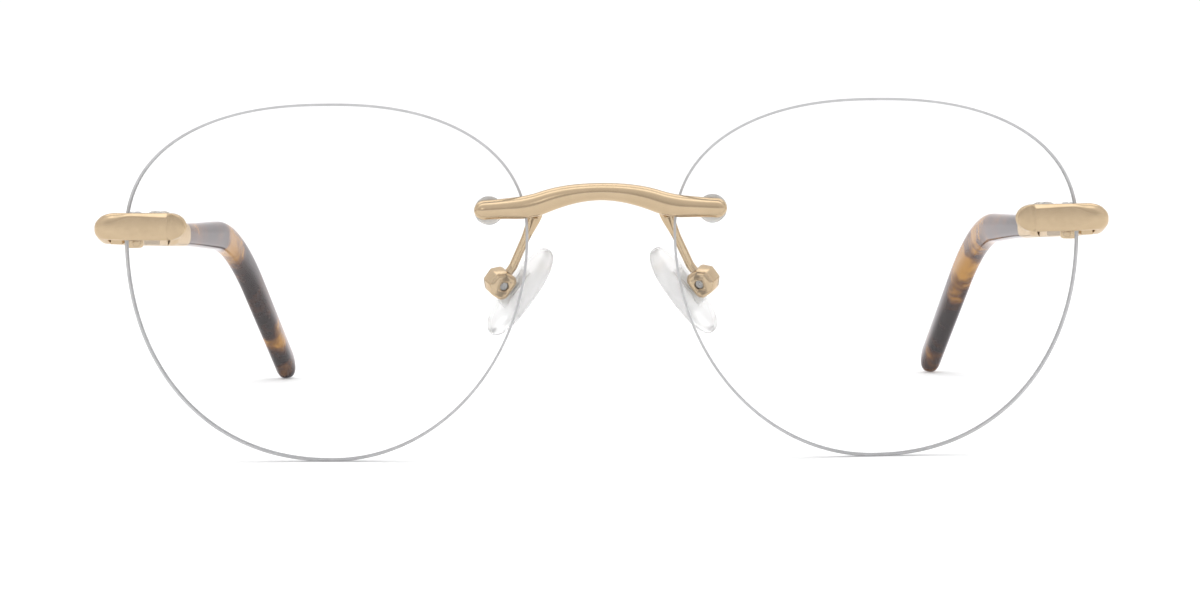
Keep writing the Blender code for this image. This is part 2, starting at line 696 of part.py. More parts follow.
def pad_shape(frame):
    """A smooth pebble with a superellipse outline."""
    half_length, half_width, half_thickness = PAD_HALF
    rings = []
    for k in range(9):
        level = -0.5 * math.pi * 0.96 + math.pi * 0.96 * k / 8
        size = math.cos(level) ** 0.8
        height = PAD_OFFSET + half_thickness * math.sin(level)
        rings.append([frame @ Vector((PAD_SHIFT + x, y, height))
                      for x, y in oval(2 * half_length * size, 2 * half_width * size, 2.5, 20)])
    return loft(rings)


def box_shape(frame):
    """An eight-sided box round the rocking axis, chamfered at its front."""
    rings = []
    for level, scale in ((-BOX_HALF_WIDTH, 1.0 - BOX_CHAMFER / (1.75 * MM)),
                         (-BOX_HALF_WIDTH + BOX_CHAMFER, 1.0), (BOX_HALF_WIDTH, 1.0)):
        rings.append([frame @ Vector((along * scale, level, nose * scale))
                      for along, nose in BOX_OUTLINE])
    return loft(rings)


def make_pad(side_name, side, front, pad, materials):
    frame = pad_frame()
    across = axis_frame(frame)

    box = add_piece(f"pad_box_{side_name}", box_shape(frame), front, materials["gold"], side)
    slot = block(frame, (-1.15 * MM, -0.65 * MM, -0.95 * MM), (1.15 * MM, 0.65 * MM, 3.0 * MM))
    bore = turned(across, [(0.60 * MM, -3.0 * MM), (0.60 * MM, 3.0 * MM)])
    combine(box, slot, "DIFFERENCE", front, side)
    combine(box, bore, "DIFFERENCE", front, side)

    add_piece(f"pad_screw_{side_name}", turned(across, [
        (0.50 * MM, -1.25 * MM), (0.50 * MM, BOX_HALF_WIDTH + GAP), (0.85 * MM, BOX_HALF_WIDTH + GAP),
        (0.85 * MM, BOX_HALF_WIDTH + 0.35 * MM), (0.60 * MM, BOX_HALF_WIDTH + 0.45 * MM)]),
        front, materials["steel"], side)

    plate_back = PAD_OFFSET - 1.1 * MM
    insert = add_piece(f"pad_insert_{side_name}",
                       block(frame, (PAD_SHIFT - 2.5 * MM, -1.3 * MM, plate_back),
                             (PAD_SHIFT + 2.5 * MM, 1.3 * MM, plate_back + 0.6 * MM)),
                       pad, materials["clear"], side)
    tab = block(frame, (-0.85 * MM, -0.45 * MM, 0.0), (0.85 * MM, 0.45 * MM, plate_back + 0.3 * MM))
    tab_end = turned(across, [(0.85 * MM, -0.45 * MM), (0.85 * MM, 0.45 * MM)], steps=16)
    tab_bore = turned(across, [(0.58 * MM, -3.0 * MM), (0.58 * MM, 3.0 * MM)])
    combine(insert, tab, "UNION", pad, side)
    combine(insert, tab_end, "UNION", pad, side)
    combine(insert, tab_bore, "DIFFERENCE", pad, side)

    cushion = add_piece(f"nose_pad_{side_name}", pad_shape(frame), pad, materials["silicone"], side)
    pocket = block(frame, (PAD_SHIFT - 2.7 * MM, -1.5 * MM, PAD_OFFSET - 3.0 * MM),
                   (PAD_SHIFT + 2.7 * MM, 1.5 * MM, PAD_OFFSET - 0.35 * MM))
    combine(cushion, pocket, "DIFFERENCE", pad, side)


def make_pad_arm(side_name, side, front, gold):
    """A round wire from the bridge's back, behind the lens edge, down to the pad box.

    It is thickest at its elbow, where it is brazed.
    """
    along = pad_frame().col[0].to_3d()
    box_top = PAD_AXIS_POINT + along * (BOX_OUTLINE[0][0] + GAP)
    corners = [
        Vector((8.15 * MM, BRIDGE_BACK_Y + GAP, 31.7 * MM)),
        Vector((8.15 * MM, 3.9 * MM, 31.3 * MM)),
        box_top + along * 0.9 * MM,
        box_top,
    ]
    path = rounded_path(corners, [0.9 * MM, 0.8 * MM], 4)
    distances = spread(0.0, path_length(path), 20)

    def section(distance):
        width = 2 * between(distance, PAD_ARM_RADII)
        return oval(width, width, 2.0, 10)

    rings = swept_rings(path, distances, section)
    add_piece(f"pad_arm_{side_name}", loft(rings), front, gold, side)


# ---------------------------------------------------------------- assembly

def main():
    clear_scene()
    gold = make_material("champagne_gold", (0.66, 0.47, 0.30), 0.25, 1.0)
    glass = make_material("clear_lens", (0.95, 0.97, 0.98), 0.03, 0.0, 0.25)
    clear = make_material("clear_plastic", (0.92, 0.93, 0.93), 0.15, 0.0, 0.6)
    silicone = make_material("clear_silicone", (0.88, 0.88, 0.87), 0.35, 0.0, 0.7)
    steel = make_material("screw_steel", (0.55, 0.55, 0.57), 0.30, 1.0)
    nylon = make_material("white_nylon", (0.85, 0.85, 0.83), 0.45, 0.0)
    acetate = make_material("tortoise_acetate", (0.16, 0.07, 0.03), 0.18, 0.0)
    mount_materials = {"front_washer": clear, "lens_bush": clear, "rear_washer": gold,
                       "nut": gold, "stud": steel}
    pad_materials = {"gold": gold, "steel": steel, "clear": clear, "silicone": silicone}

    front = Holder("front_frame", (0.0, 0.0, 0.0))
    make_bridge(front, gold)
    for side_name, side in SIDES:
        mirror = Vector((side, 1.0, 1.0))
        temple = Holder(f"temple_axis_{side_name}", HINGE_AXIS * mirror, front)
        pad = Holder(f"pad_axis_{side_name}", PAD_AXIS_POINT * mirror, front)
        path = temple_path()
        make_lens(side_name, side, front, glass)
        make_mount("bridge", side_name, side, NASAL_HOLE, front, mount_materials)
        make_mount("endpiece", side_name, side, TEMPORAL_HOLE, front, mount_materials)
        make_endpiece(side_name, side, front, gold)
        make_hinge(side_name, side, front, temple, gold, steel, nylon)
        make_temple_arm(side_name, side, path, temple, gold)
        make_ferrule(side_name, side, path, temple, gold)
        make_tip(side_name, side, path, temple, acetate)
        make_pad_arm(side_name, side, front, gold)
        make_pad(side_name, side, front, pad, pad_materials)


main()
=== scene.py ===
"""The looks of the rimless eyeglasses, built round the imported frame.

Every CAD node gets a finer piece with the same size and place.  Shapes are drawn for the
wearer's left side in the design frame, whose origin is the lens apex, and mirrored for the
right side.  Lengths are in metres.
"""
import math

import bmesh
import bpy
from mathutils import Matrix, Vector


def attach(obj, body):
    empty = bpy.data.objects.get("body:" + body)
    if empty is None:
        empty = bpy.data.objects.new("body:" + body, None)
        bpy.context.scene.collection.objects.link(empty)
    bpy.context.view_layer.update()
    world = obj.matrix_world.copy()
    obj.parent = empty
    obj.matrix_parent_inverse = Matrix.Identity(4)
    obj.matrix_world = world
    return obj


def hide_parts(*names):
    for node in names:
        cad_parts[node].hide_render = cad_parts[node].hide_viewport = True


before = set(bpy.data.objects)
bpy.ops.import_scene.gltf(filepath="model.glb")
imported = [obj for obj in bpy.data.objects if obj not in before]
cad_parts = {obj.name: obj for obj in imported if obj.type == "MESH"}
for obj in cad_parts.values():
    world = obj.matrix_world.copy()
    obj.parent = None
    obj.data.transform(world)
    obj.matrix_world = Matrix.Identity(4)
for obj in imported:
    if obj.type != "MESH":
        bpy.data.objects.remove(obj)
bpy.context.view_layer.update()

MM = 0.001
Y_AXIS = Vector((0.0, 1.0, 0.0))
Z_AXIS = Vector((0.0, 0.0, 1.0))
SIDES = (("left", 1), ("right", -1))
GAP = 0.05 * MM
FRONT_Y = -70.68 * MM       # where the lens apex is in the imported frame
THROUGH = 3.0 * MM          # half length of a bore's tool, which passes right through

# Lens, with the CAD part's sizes, as for all the pieces below
BRIDGE_WIDTH = 18.3 * MM
NASAL_HALF = 25.25 * MM
TEMPORAL_HALF = 26.1 * MM
UPPER_HEIGHT = 16.75 * MM
LOWER_HEIGHT = 28.7 * MM
UPPER_NASAL_POWER = 2.28
UPPER_TEMPORAL_POWER = 2.31
LOWER_NASAL_POWER = 1.99
LOWER_TEMPORAL_POWER = 2.19
LENS_RADIUS = 125.0 * MM
LENS_THICKNESS = 2.0 * MM
LENS_CHAMFER = 0.30 * MM
LENS_APEX = Vector((24.0 * MM, 0.0, 30.0 * MM))
LENS_CENTRE = Vector((BRIDGE_WIDTH / 2 + NASAL_HALF, 0.0, LOWER_HEIGHT))
LENS_STEPS = 288
LENS_DRILL = (-1.0 * MM, 4.0 * MM)      # well past both faces
SIDEWAYS = 0.9              # a lens face whose normal has less than this along Y is edge

# Screw mounts through the lens
NASAL_HOLE = (14.05 * MM, 31.85 * MM)
TEMPORAL_HOLE = (56.2 * MM, 30.3 * MM)
STUD_RADIUS = 0.60 * MM
CLEAR_RADIUS = 0.66 * MM
SOCKET_DEPTH = 0.8 * MM
BUSH_RADIUS = 0.90 * MM
LENS_HOLE_RADIUS = 0.96 * MM
FRONT_WASHER = (1.82 * MM, 0.50 * MM)
BUSH_FLANGE = (1.70 * MM, 0.40 * MM)
REAR_WASHER = (1.45 * MM, 0.25 * MM)
NUT_FLATS = 2.5 * MM
NUT_HEIGHT = 1.4 * MM
STUD_PROUD = 0.4 * MM

# Bridge
BRIDGE_HALF = 15.85 * MM
BRIDGE_TOP_Z = 34.1 * MM
BRIDGE_HEIGHTS = ((0.0, 2.2 * MM), (8.8 * MM, 2.88 * MM), (14.0 * MM, 2.5 * MM))
BRIDGE_DEPTH = 1.9 * MM
BRIDGE_BACK_Y = -0.36 * MM
ARCH_RADIUS = 21.0 * MM
ARCH_TURN = math.radians(20.0)
FOOT_RADIUS = 11.6 * MM
END_DROOP = math.radians(2.9)

# End piece
ENDPIECE_HEIGHT = 3.45 * MM
ENDPIECE_THICKNESS = 1.8 * MM
ENDPIECE_BACK_HEIGHT = 3.0 * MM
ENDPIECE_Z = 30.15 * MM
ENDPIECE_NOSE = 4.3 * MM
NOSE_RECESS = 0.9 * MM
OUTER_X = 64.4 * MM
BUTT_Y = 10.8 * MM

# Hinge
HINGE_AXIS = Vector((60.0 * MM, 11.8 * MM, 29.2 * MM))
KNUCKLE_RADIUS = 1.2 * MM
BARREL_HEIGHT = 4.2 * MM
MIDDLE_KNUCKLE = 1.2 * MM
HINGE_WASHER = 0.20 * MM
HINGE_SCREW_RADIUS = 0.50 * MM
HINGE_BORE_RADIUS = 0.57 * MM
LEAF_INNER_X = 61.05 * MM
LEAF_HALF_HEIGHT = 1.45 * MM
FRONT_LEAF_Y = (7.6 * MM, BUTT_Y - 0.35 * MM)
TEMPLE_LEAF_Y = (13.1 * MM, 17.6 * MM)
FRONT_WEB_Y = 10.0 * MM
TEMPLE_WEB_Y = 13.6 * MM
WEB_OVERLAP = 0.7 * MM      # of a knuckle's web into its leaf
LEAF_ROUNDING = 0.14 * MM

# Temple; distances along it start at its hinge end
TEMPLE_FRONT = Vector((OUTER_X - 0.9 * MM, BUTT_Y + 0.15 * MM, 29.2 * MM))
TEMPLE_SHOULDER = Vector((OUTER_X - 0.9 * MM, 18.0 * MM, 28.8 * MM))
TEMPLE_BEND = Vector((57.0 * MM, 109.0 * MM, 24.4 * MM))
TEMPLE_END = Vector((51.8 * MM, 143.0 * MM, 1.35 * MM))
TIP_ROLL = math.radians(14.0)
BEND_RADIUS = 55.0 * MM
ARM_LENGTH = 42.0 * MM
FERRULE_LENGTH = 12.0 * MM
FERRULE_START = ARM_LENGTH + 0.6 * MM
TIP_START = ARM_LENGTH + FERRULE_LENGTH + 0.7 * MM
TIP_BEND_START = 95.0 * MM
TIP_BEND_STOP = 135.0 * MM
HATCHED_SPAN = (14.0 * MM, 36.0 * MM)
ARM_THICKNESS = 1.3 * MM
ARM_HEIGHT = 3.3 * MM

# Nose pad
PAD_AXIS_POINT = Vector((12.8 * MM, 6.0 * MM, 22.35 * MM))
PAD_FRONTAL_ANGLE = math.radians(36.0)
PAD_SPLAY_ANGLE = math.radians(24.0)
PAD_HALF = (6.5 * MM, 3.8 * MM, 1.3 * MM)
PAD_OFFSET = 2.85 * MM
PAD_SHIFT = 0.5 * MM
BOX_OUTLINE = (
    (1.75 * MM, 0.75 * MM), (1.20 * MM, 1.30 * MM), (-1.20 * MM, 1.30 * MM), (-1.75 * MM, 0.75 * MM),
    (-1.75 * MM, -0.75 * MM), (-0.80 * MM, -1.75 * MM), (0.80 * MM, -1.75 * MM),
    (1.75 * MM, -0.75 * MM))
BOX_HALF_WIDTH = 1.6 * MM
BOX_CHAMFER = 0.4 * MM
BOX_ROUNDING = 0.22 * MM
BOX_BORE = 0.60 * MM
BOX_SLOT_HALF = (1.15 * MM, 0.65 * MM)
BOX_SLOT_FLOOR = -0.95 * MM
PAD_SCREW_RADIUS = 0.50 * MM
INSERT_HALF = (2.5 * MM, 1.3 * MM)
INSERT_THICKNESS = 0.6 * MM
TAB_HALF = (0.85 * MM, 0.45 * MM)
TAB_BORE = 0.58 * MM
POCKET_HALF = (2.7 * MM, 1.5 * MM)
PAD_ARM_ROOT = Vector((8.15 * MM, BRIDGE_BACK_Y + GAP, 31.7 * MM))
PAD_ARM_BEND = Vector((8.15 * MM, 3.9 * MM, 31.3 * MM))
PAD_ARM_RADII = ((3.0 * MM, 0.58 * MM), (4.2 * MM, 0.85 * MM), (8.0 * MM, 0.55 * MM))


# ---------------------------------------------------------------- mesh helpers

def finish_shape(shape, side):
    """Mirror a shape drawn for the wearer's left, and face it outwards."""
    if side < 0:
        for vertex in shape.verts:
            vertex.co.x = -vertex.co.x
    bmesh.ops.recalc_face_normals(shape, faces=shape.faces)
    if shape.calc_volume(signed=True) < 0.0:
        bmesh.ops.reverse_faces(shape, faces=shape.faces)


def new_object(node, shape, side, sharp_angle=35.0):
    """The fine piece for a CAD node, from a shape in the design frame."""
    name = f"{node}_fine"
    finish_shape(shape, side)
    for vertex in shape.verts:
        vertex.co.y += FRONT_Y
    mesh = bpy.data.meshes.new(name)
    shape.to_mesh(mesh)
    shape.free()
    mesh.shade_smooth()
    mesh.set_sharp_from_angle(angle=math.radians(sharp_angle))
    made = bpy.data.objects.new(name, mesh)
    bpy.context.collection.objects.link(made)
    return made


def keep_modified(piece):
    """Give a piece the mesh that its modifiers make, and drop the modifiers."""
    graph = bpy.context.evaluated_depsgraph_get()
    result = bpy.data.meshes.new_from_object(piece.evaluated_get(graph))
    piece.modifiers.clear()
    old = piece.data
    piece.data = result
    bpy.data.meshes.remove(old)


def combine(piece, shape, operation, side):
    """Cut a shape out of a piece, or join it on."""
    tool = new_object("tool", shape, side)
    modifier = piece.modifiers.new("combine", "BOOLEAN")
    modifier.operation = operation
    modifier.solver = "EXACT"
    modifier.object = tool
    keep_modified(piece)
    bpy.data.objects.remove(tool, do_unlink=True)


def soften(piece, width, segments, angle=40.0):
    """Round the sharp edges of a piece."""
    modifier = piece.modifiers.new("soften", "BEVEL")
    modifier.width = width
    modifier.segments = segments
    modifier.limit_method = "ANGLE"
    modifier.angle_limit = math.radians(angle)
    modifier.harden_normals = False
    keep_modified(piece)
    piece.data.shade_smooth()
    piece.data.set_sharp_from_angle(angle=math.radians(50.0))


def dress(piece, body, materials, slot):
    """Give a piece its material, and let it stand for the CAD node that it is named after."""
    piece.data.materials.clear()
    piece.data.materials.append(materials[slot])
    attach(piece, body)
    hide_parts(piece.name.removesuffix("_fine"))


def loft(rings, loop=False):
    """Skin a list of rings.  The ends are capped, or joined to each other in a loop."""
    shape = bmesh.new()
    rows = [[shape.verts.new(point) for point in ring] for ring in rings]
    pairs = list(zip(rows, rows[1:]))
    if loop:
        pairs.append((rows[-1], rows[0]))
    for row, following in pairs:
        for i in range(len(row)):
            shape.faces.new((row[i - 1], row[i], following[i], following[i - 1]))
    if not loop:
        shape.faces.new(rows[0])
        shape.faces.new(rows[-1])
    return shape


def frame_at(origin, direction):
    """A frame whose third axis is the direction, and whose second axis leans upwards."""
    third = direction.normalized()
    second = (Z_AXIS - Z_AXIS.dot(third) * third).normalized()
    first = second.cross(third)
    matrix = Matrix((first, second, third)).transposed().to_4x4()
    matrix.translation = origin
    return matrix


def circle(base, radius, height, steps):
    """A ring of points round the frame's third axis."""
    ring = []
    for i in range(steps):
        angle = math.tau * (i + 0.5) / steps
        ring.append(base @ Vector((radius * math.cos(angle), radius * math.sin(angle), height)))
    return ring


def turned(base, profile, steps=48):
    """A solid turned piece from (radius, height) pairs along the frame's third axis."""
    return loft([circle(base, radius, height, steps) for radius, height in profile])


def turned_ring(base, bore, profile, steps=48):
    """A turned piece with a bore right through it."""
    outer = [circle(base, radius, height, steps) for radius, height in profile]
    inner = [circle(base, bore, height, steps) for height in (profile[-1][1], profile[0][1])]
    return loft(outer + inner, loop=True)


def disc_profile(radius, low, high, edge):
    """A disc's outer profile with rounded rims."""
    corner = []
    for k in range(4):
        angle = 0.5 * math.pi * k / 3
        corner.append((radius - edge * (1.0 - math.sin(angle)), edge * (1.0 - math.cos(angle))))
    lower = [(reach, low + rise) for reach, rise in corner]
    upper = [(reach, high - rise) for reach, rise in reversed(corner)]
    return lower + upper


def block(base, lowest, highest):
    """A box between two corners given in the frame's own axes."""
    shape = bmesh.new()
    bmesh.ops.create_cube(shape, size=1.0)
    lowest = Vector(lowest)
    highest = Vector(highest)
    for vertex in shape.verts:
        share = vertex.co + Vector((0.5, 0.5, 0.5))
        vertex.co = lowest + Vector([(highest - lowest)[k] * share[k] for k in range(3)])
    shape.transform(base)
    return shape


def oval(width, height, power=2.0, steps=40):
    """Points of a superellipse; power 2 is an ellipse and larger powers are squarer."""
    points = []
    for i in range(steps):
        angle = math.tau * (i + 0.5) / steps
        across = math.copysign(abs(math.cos(angle)) ** (2.0 / power), math.cos(angle))
        up = math.copysign(abs(math.sin(angle)) ** (2.0 / power), math.sin(angle))
        points.append((width / 2 * across, height / 2 * up))
    return points


def rounded_path(corners, radii, arc_steps=40):
    """A line through the corners, with each inner corner rounded to its radius."""
    path = [corners[0]]
    for before, corner, after, radius in zip(corners, corners[1:], corners[2:], radii):
        inward = (before - corner).normalized()
        outward = (after - corner).normalized()
        half_angle = inward.angle(outward) / 2
        reach = radius / math.tan(half_angle)
        centre = corner + (inward + outward).normalized() * (radius / math.sin(half_angle))
        start = corner + inward * reach - centre
        stop = corner + outward * reach - centre
        for k in range(arc_steps + 1):
            path.append(centre + start.slerp(stop, k / arc_steps).normalized() * radius)
    path.append(corners[-1])
    return path


def path_length(path):
    return sum((b - a).length for a, b in zip(path, path[1:]))


def point_at(path, distance):
    """The point at a distance along a path."""
    for a, b in zip(path, path[1:]):
        step = (b - a).length
        if distance <= step:
            return a.lerp(b, distance / step)
        distance -= step
    return path[-1] + (path[-1] - path[-2]).normalized() * distance


def swept(path, distances, section):
    """A bar along a path: section gives (inward, up) offsets at each distance."""
    rings = []
    probe = 0.15 * MM
    for distance in distances:
        point = point_at(path, distance)
        tangent = point_at(path, distance + probe) - point_at(path, max(distance - probe, 0.0))
        base = frame_at(point, tangent)
        rings.append([base @ Vector((inward, up, 0.0)) for inward, up in section(distance)])
    return loft(rings)


def rolled(points, angle):
    """Turn a section about its path."""
    return [(across * math.cos(angle) - up * math.sin(angle),
             across * math.sin(angle) + up * math.cos(angle)) for across, up in points]


def spread(start, stop, count):
    """Even values from start to stop."""
    return [start + (stop - start) * k / (count - 1) for k in range(count)]


def end_stations(radius, count=8):
    """Distances from a rounded end that follow its curve evenly."""
    inset = 0.02 * MM
    return [inset + (radius - inset) * (1.0 - math.cos(0.5 * math.pi * k / count))
            for k in range(count)]


def rounded_end(distance, length):
    """Size of a section near a rounded end, from 0 at the end itself to 1."""
    share = min(max(distance / length, 0.0), 1.0)
    return math.sqrt(1.0 - (1.0 - share) ** 2)


def between(distance, stations):
    """Read a value from (distance, value) pairs, easing from each to the next."""
    if distance <= stations[0][0]:
        return stations[0][1]
    for (start, first), (stop, second) in zip(stations, stations[1:]):
        if distance <= stop:
            share = (distance - start) / (stop - start)
            return first + (second - first) * share * share * (3.0 - 2.0 * share)
    return stations[-1][1]


# ---------------------------------------------------------------- material helpers

def new_material(name):
    material = bpy.data.materials.new(name)
    material.use_nodes = True
    return material, material.node_tree.nodes, material.node_tree.links


def set_inputs(node, values):
    """Set a node's own sockets."""
    for name, value in values.items():
        node.inputs[name].default_value = value


def noise(nodes, links, scale, detail=2.0, roughness=0.5, distortion=0.0):
    """Noise in metres of the object's own space."""
    place = nodes.new("ShaderNodeTexCoord")
    texture = nodes.new("ShaderNodeTexNoise")
    set_inputs(texture, {"Scale": scale, "Detail": detail, "Roughness": roughness,
                         "Distortion": distortion})
    links.new(place.outputs["Object"], texture.inputs["Vector"])
    return texture


def ramp(nodes, links, source, stops):
    """Colours at places from 0 to 1, driven by the source."""
    made = nodes.new("ShaderNodeValToRGB")
    while len(made.color_ramp.elements) < len(stops):
        made.color_ramp.elements.new(0.5)
    for element, (place, colour) in zip(made.color_ramp.elements, stops):
        element.position = place
        element.color = (*colour, 1.0)
    links.new(source, made.inputs["Fac"])
    return made.outputs["Color"]


def map_range(nodes, links, source, low, high):
    """The middle of a texture's range, stretched to run from low to high."""
    made = nodes.new("ShaderNodeMapRange")
    set_inputs(made, {"From Min": 0.3, "From Max": 0.7, "To Min": low, "To Max": high})
    links.new(source, made.inputs["Value"])
    return made.outputs["Result"]


def add_bump(nodes, links, shader, source, strength, depth):
    bump = nodes.new("ShaderNodeBump")
    set_inputs(bump, {"Strength": strength, "Distance": depth})
    links.new(source, bump.inputs["Height"])
    links.new(bump.outputs["Normal"], shader.inputs["Normal"])


def add_sheen(nodes, links, body, gloss, power, least, most):
    """Lay a gloss over a body shader: faint seen square on, strong at a glancing angle."""
    tilt = nodes.new("ShaderNodeLayerWeight")
    tilt.inputs["Blend"].default_value = 0.5
    steep = nodes.new("ShaderNodeMath")
    steep.operation = "POWER"
    steep.inputs[1].default_value = power
    links.new(tilt.outputs["Facing"], steep.inputs[0])
    share = nodes.new("ShaderNodeMapRange")
    set_inputs(share, {"To Min": least, "To Max": most})
    links.new(steep.outputs["Value"], share.inputs["Value"])
    mix = nodes.new("ShaderNodeMixShader")
    links.new(share.outputs["Result"], mix.inputs["Fac"])
    links.new(body.outputs["BSDF"], mix.inputs[1])
    links.new(gloss.outputs["BSDF"], mix.inputs[2])
    links.new(mix.outputs["Shader"], nodes["Material Output"].inputs["Surface"])


def gold_material():
    """Polished champagne-gold plating with faint polishing haze."""
    material, nodes, links = new_material("champagne_gold")
    shader = nodes["Principled BSDF"]
    set_inputs(shader, {"Metallic": 1.0, "Specular Tint": (0.93, 0.85, 0.75, 1.0)})
    cloud = noise(nodes, links, 300.0, 3.0)
    links.new(ramp(nodes, links, cloud.outputs["Fac"],
                   [(0.25, (0.530, 0.404, 0.262)), (0.75, (0.570, 0.438, 0.289))]),
              shader.inputs["Base Color"])
    haze = noise(nodes, links, 1400.0, 4.0)
    links.new(map_range(nodes, links, haze.outputs["Fac"], 0.15, 0.23), shader.inputs["Roughness"])
    add_bump(nodes, links, shader, haze.outputs["Fac"], 0.04, 0.02 * MM)
    return material


def steel_material():
    """Bright screw steel, finely brushed."""
    material, nodes, links = new_material("screw_steel")
    shader = nodes["Principled BSDF"]
    set_inputs(shader, {"Metallic": 1.0, "Base Color": (0.50, 0.49, 0.48, 1.0)})
    haze = noise(nodes, links, 4000.0, 3.0)
    links.new(map_range(nodes, links, haze.outputs["Fac"], 0.22, 0.38), shader.inputs["Roughness"])
    return material


def clear_material():
    """Clear plastic with a trace of cloud."""
    material, nodes, links = new_material("clear_plastic")
    shader = nodes["Principled BSDF"]
    set_inputs(shader, {"Base Color": (0.95, 0.945, 0.93, 1.0), "IOR": 1.30,
                        "Transmission Weight": 0.65})
    haze = noise(nodes, links, 900.0, 2.0)
    links.new(map_range(nodes, links, haze.outputs["Fac"], 0.08, 0.14), shader.inputs["Roughness"])
    return material


def lens_material():
    """A clear, coated face: nearly all light passes, and a glancing view mirrors more."""
    material, nodes, links = new_material("clear_lens")
    nodes.remove(nodes["Principled BSDF"])
    clear = nodes.new("ShaderNodeBsdfTransparent")
    clear.inputs["Color"].default_value = (0.995, 0.996, 0.996, 1.0)
    gloss = nodes.new("ShaderNodeBsdfGlossy")
    set_inputs(gloss, {"Color": (0.95, 0.98, 1.0, 1.0), "Roughness": 0.02})
    add_sheen(nodes, links, clear, gloss, 5.0, 0.012, 0.6)
    return material


def lens_edge_material():
    """The ground edge of a lens: fine grey frost."""
    material, nodes, links = new_material("lens_edge")
    shader = nodes["Principled BSDF"]
    set_inputs(shader, {"IOR": 1.4, "Specular IOR Level": 0.3})
    grain = noise(nodes, links, 900.0, 2.0)
    links.new(ramp(nodes, links, grain.outputs["Fac"],
                   [(0.3, (0.47, 0.468, 0.475)), (0.7, (0.54, 0.538, 0.545))]),
              shader.inputs["Base Color"])
    links.new(map_range(nodes, links, grain.outputs["Fac"], 0.28, 0.40), shader.inputs["Roughness"])
    return material


def acetate_material():
    """Tortoise acetate: amber with brown clouds and near-black blotches under a polish."""
    material, nodes, links = new_material("tortoise_acetate")
    shader = nodes["Principled BSDF"]
    set_inputs(shader, {"Roughness": 0.6, "Specular IOR Level": 0.0})
    gloss = nodes.new("ShaderNodeBsdfGlossy")
    set_inputs(gloss, {"Color": (1.0, 0.96, 0.98, 1.0), "Roughness": 0.12})
    add_sheen(nodes, links, shader, gloss, 7.2, 0.04, 1.0)
    blotch = noise(nodes, links, 95.0, 3.0, 0.5, 0.2)
    blotch.noise_dimensions = "4D"
    blotch.inputs["W"].default_value = 5.5
    cloud = noise(nodes, links, 480.0, 3.0, 0.6, 0.3)
    mix = nodes.new("ShaderNodeMix")
    mix.data_type = "FLOAT"
    mix.inputs["Factor"].default_value = 0.22
    links.new(blotch.outputs["Fac"], mix.inputs["A"])
    links.new(cloud.outputs["Fac"], mix.inputs["B"])
    colour = ramp(nodes, links, mix.outputs["Result"],
                  [(0.43, (0.018, 0.011, 0.010)), (0.49, (0.055, 0.024, 0.014)),
                   (0.54, (0.160, 0.070, 0.020)), (0.60, (0.430, 0.210, 0.035))])
    links.new(colour, shader.inputs["Base Color"])
    return material


def silicone_material():
    """Soft clear silicone, slightly cloudy."""
    material, nodes, links = new_material("clear_silicone")
    shader = nodes["Principled BSDF"]
    set_inputs(shader, {"Base Color": (0.985, 0.98, 0.975, 1.0), "IOR": 1.30,
                        "Transmission Weight": 0.72})
    haze = noise(nodes, links, 500.0, 2.0)
    links.new(map_range(nodes, links, haze.outputs["Fac"], 0.12, 0.26), shader.inputs["Roughness"])
    return material


def nylon_material():
    """Milky nylon with a trace of cloud."""
    material, nodes, links = new_material("white_nylon")
    shader = nodes["Principled BSDF"]
    set_inputs(shader, {"Subsurface Weight": 0.2, "Subsurface Scale": 0.5 * MM})
    haze = noise(nodes, links, 2000.0, 3.0)
    links.new(ramp(nodes, links, haze.outputs["Fac"],
                   [(0.3, (0.77, 0.77, 0.75)), (0.7, (0.84, 0.84, 0.82))]),
              shader.inputs["Base Color"])
    links.new(map_range(nodes, links, haze.outputs["Fac"], 0.38, 0.52), shader.inputs["Roughness"])
    return material


def etched_material():
    """Gold with a band of plain fine hatching on the inside of the arm."""
    material, nodes, links = new_material("etched_gold")
    shader = nodes["Principled BSDF"]
    set_inputs(shader, {"Specular Tint": (0.93, 0.85, 0.75, 1.0)})
    place = nodes.new("ShaderNodeTexCoord")
    wave = nodes.new("ShaderNodeTexWave")
    wave.bands_direction = "DIAGONAL"
    set_inputs(wave, {"Scale": 1000.0, "Distortion": 0.0})
    links.new(place.outputs["Object"], wave.inputs["Vector"])
    links.new(ramp(nodes, links, wave.outputs["Fac"],
                   [(0.50, (0.10, 0.08, 0.07)), (0.65, (0.60, 0.46, 0.30))]),
              shader.inputs["Base Color"])
    links.new(map_range(nodes, links, wave.outputs["Fac"], 0.15, 1.0), shader.inputs["Metallic"])
    links.new(map_range(nodes, links, wave.outputs["Fac"], 0.45, 0.25), shader.inputs["Roughness"])
    return material


# ---------------------------------------------------------------- lens

def lens_outline(angle, scale=1.0):
    """A point of the lens outline, as x and z, seen from the front."""
    across = math.cos(angle)
    up = math.sin(angle)
    half_width = TEMPORAL_HALF if across > 0 else NASAL_HALF
    height = UPPER_HEIGHT if up > 0 else LOWER_HEIGHT
    if up > 0:
        power = UPPER_TEMPORAL_POWER if across > 0 else UPPER_NASAL_POWER
    else:
        power = LOWER_TEMPORAL_POWER if across > 0 else LOWER_NASAL_POWER
    share = (abs(across / half_width) ** power + abs(up / height) ** power) ** (-1.0 / power)
    return LENS_CENTRE.x + scale * share * across, LENS_CENTRE.z + scale * share * up


def lens_front(x, z):
    """The point of the front surface at x and z."""
    rise = (x - LENS_APEX.x) ** 2 + (z - LENS_APEX.z) ** 2
    return Vector((x, LENS_RADIUS - math.sqrt(LENS_RADIUS ** 2 - rise), z))


def lens_backward(point):
    """The direction from a point of the front surface into the lens."""
    return (LENS_APEX + LENS_RADIUS * Y_AXIS - point).normalized()


def hole_frame(hole):
    """A frame on the front surface at a hole; its third axis runs back through the lens."""
    point = lens_front(*hole)
    return frame_at(point, lens_backward(point))


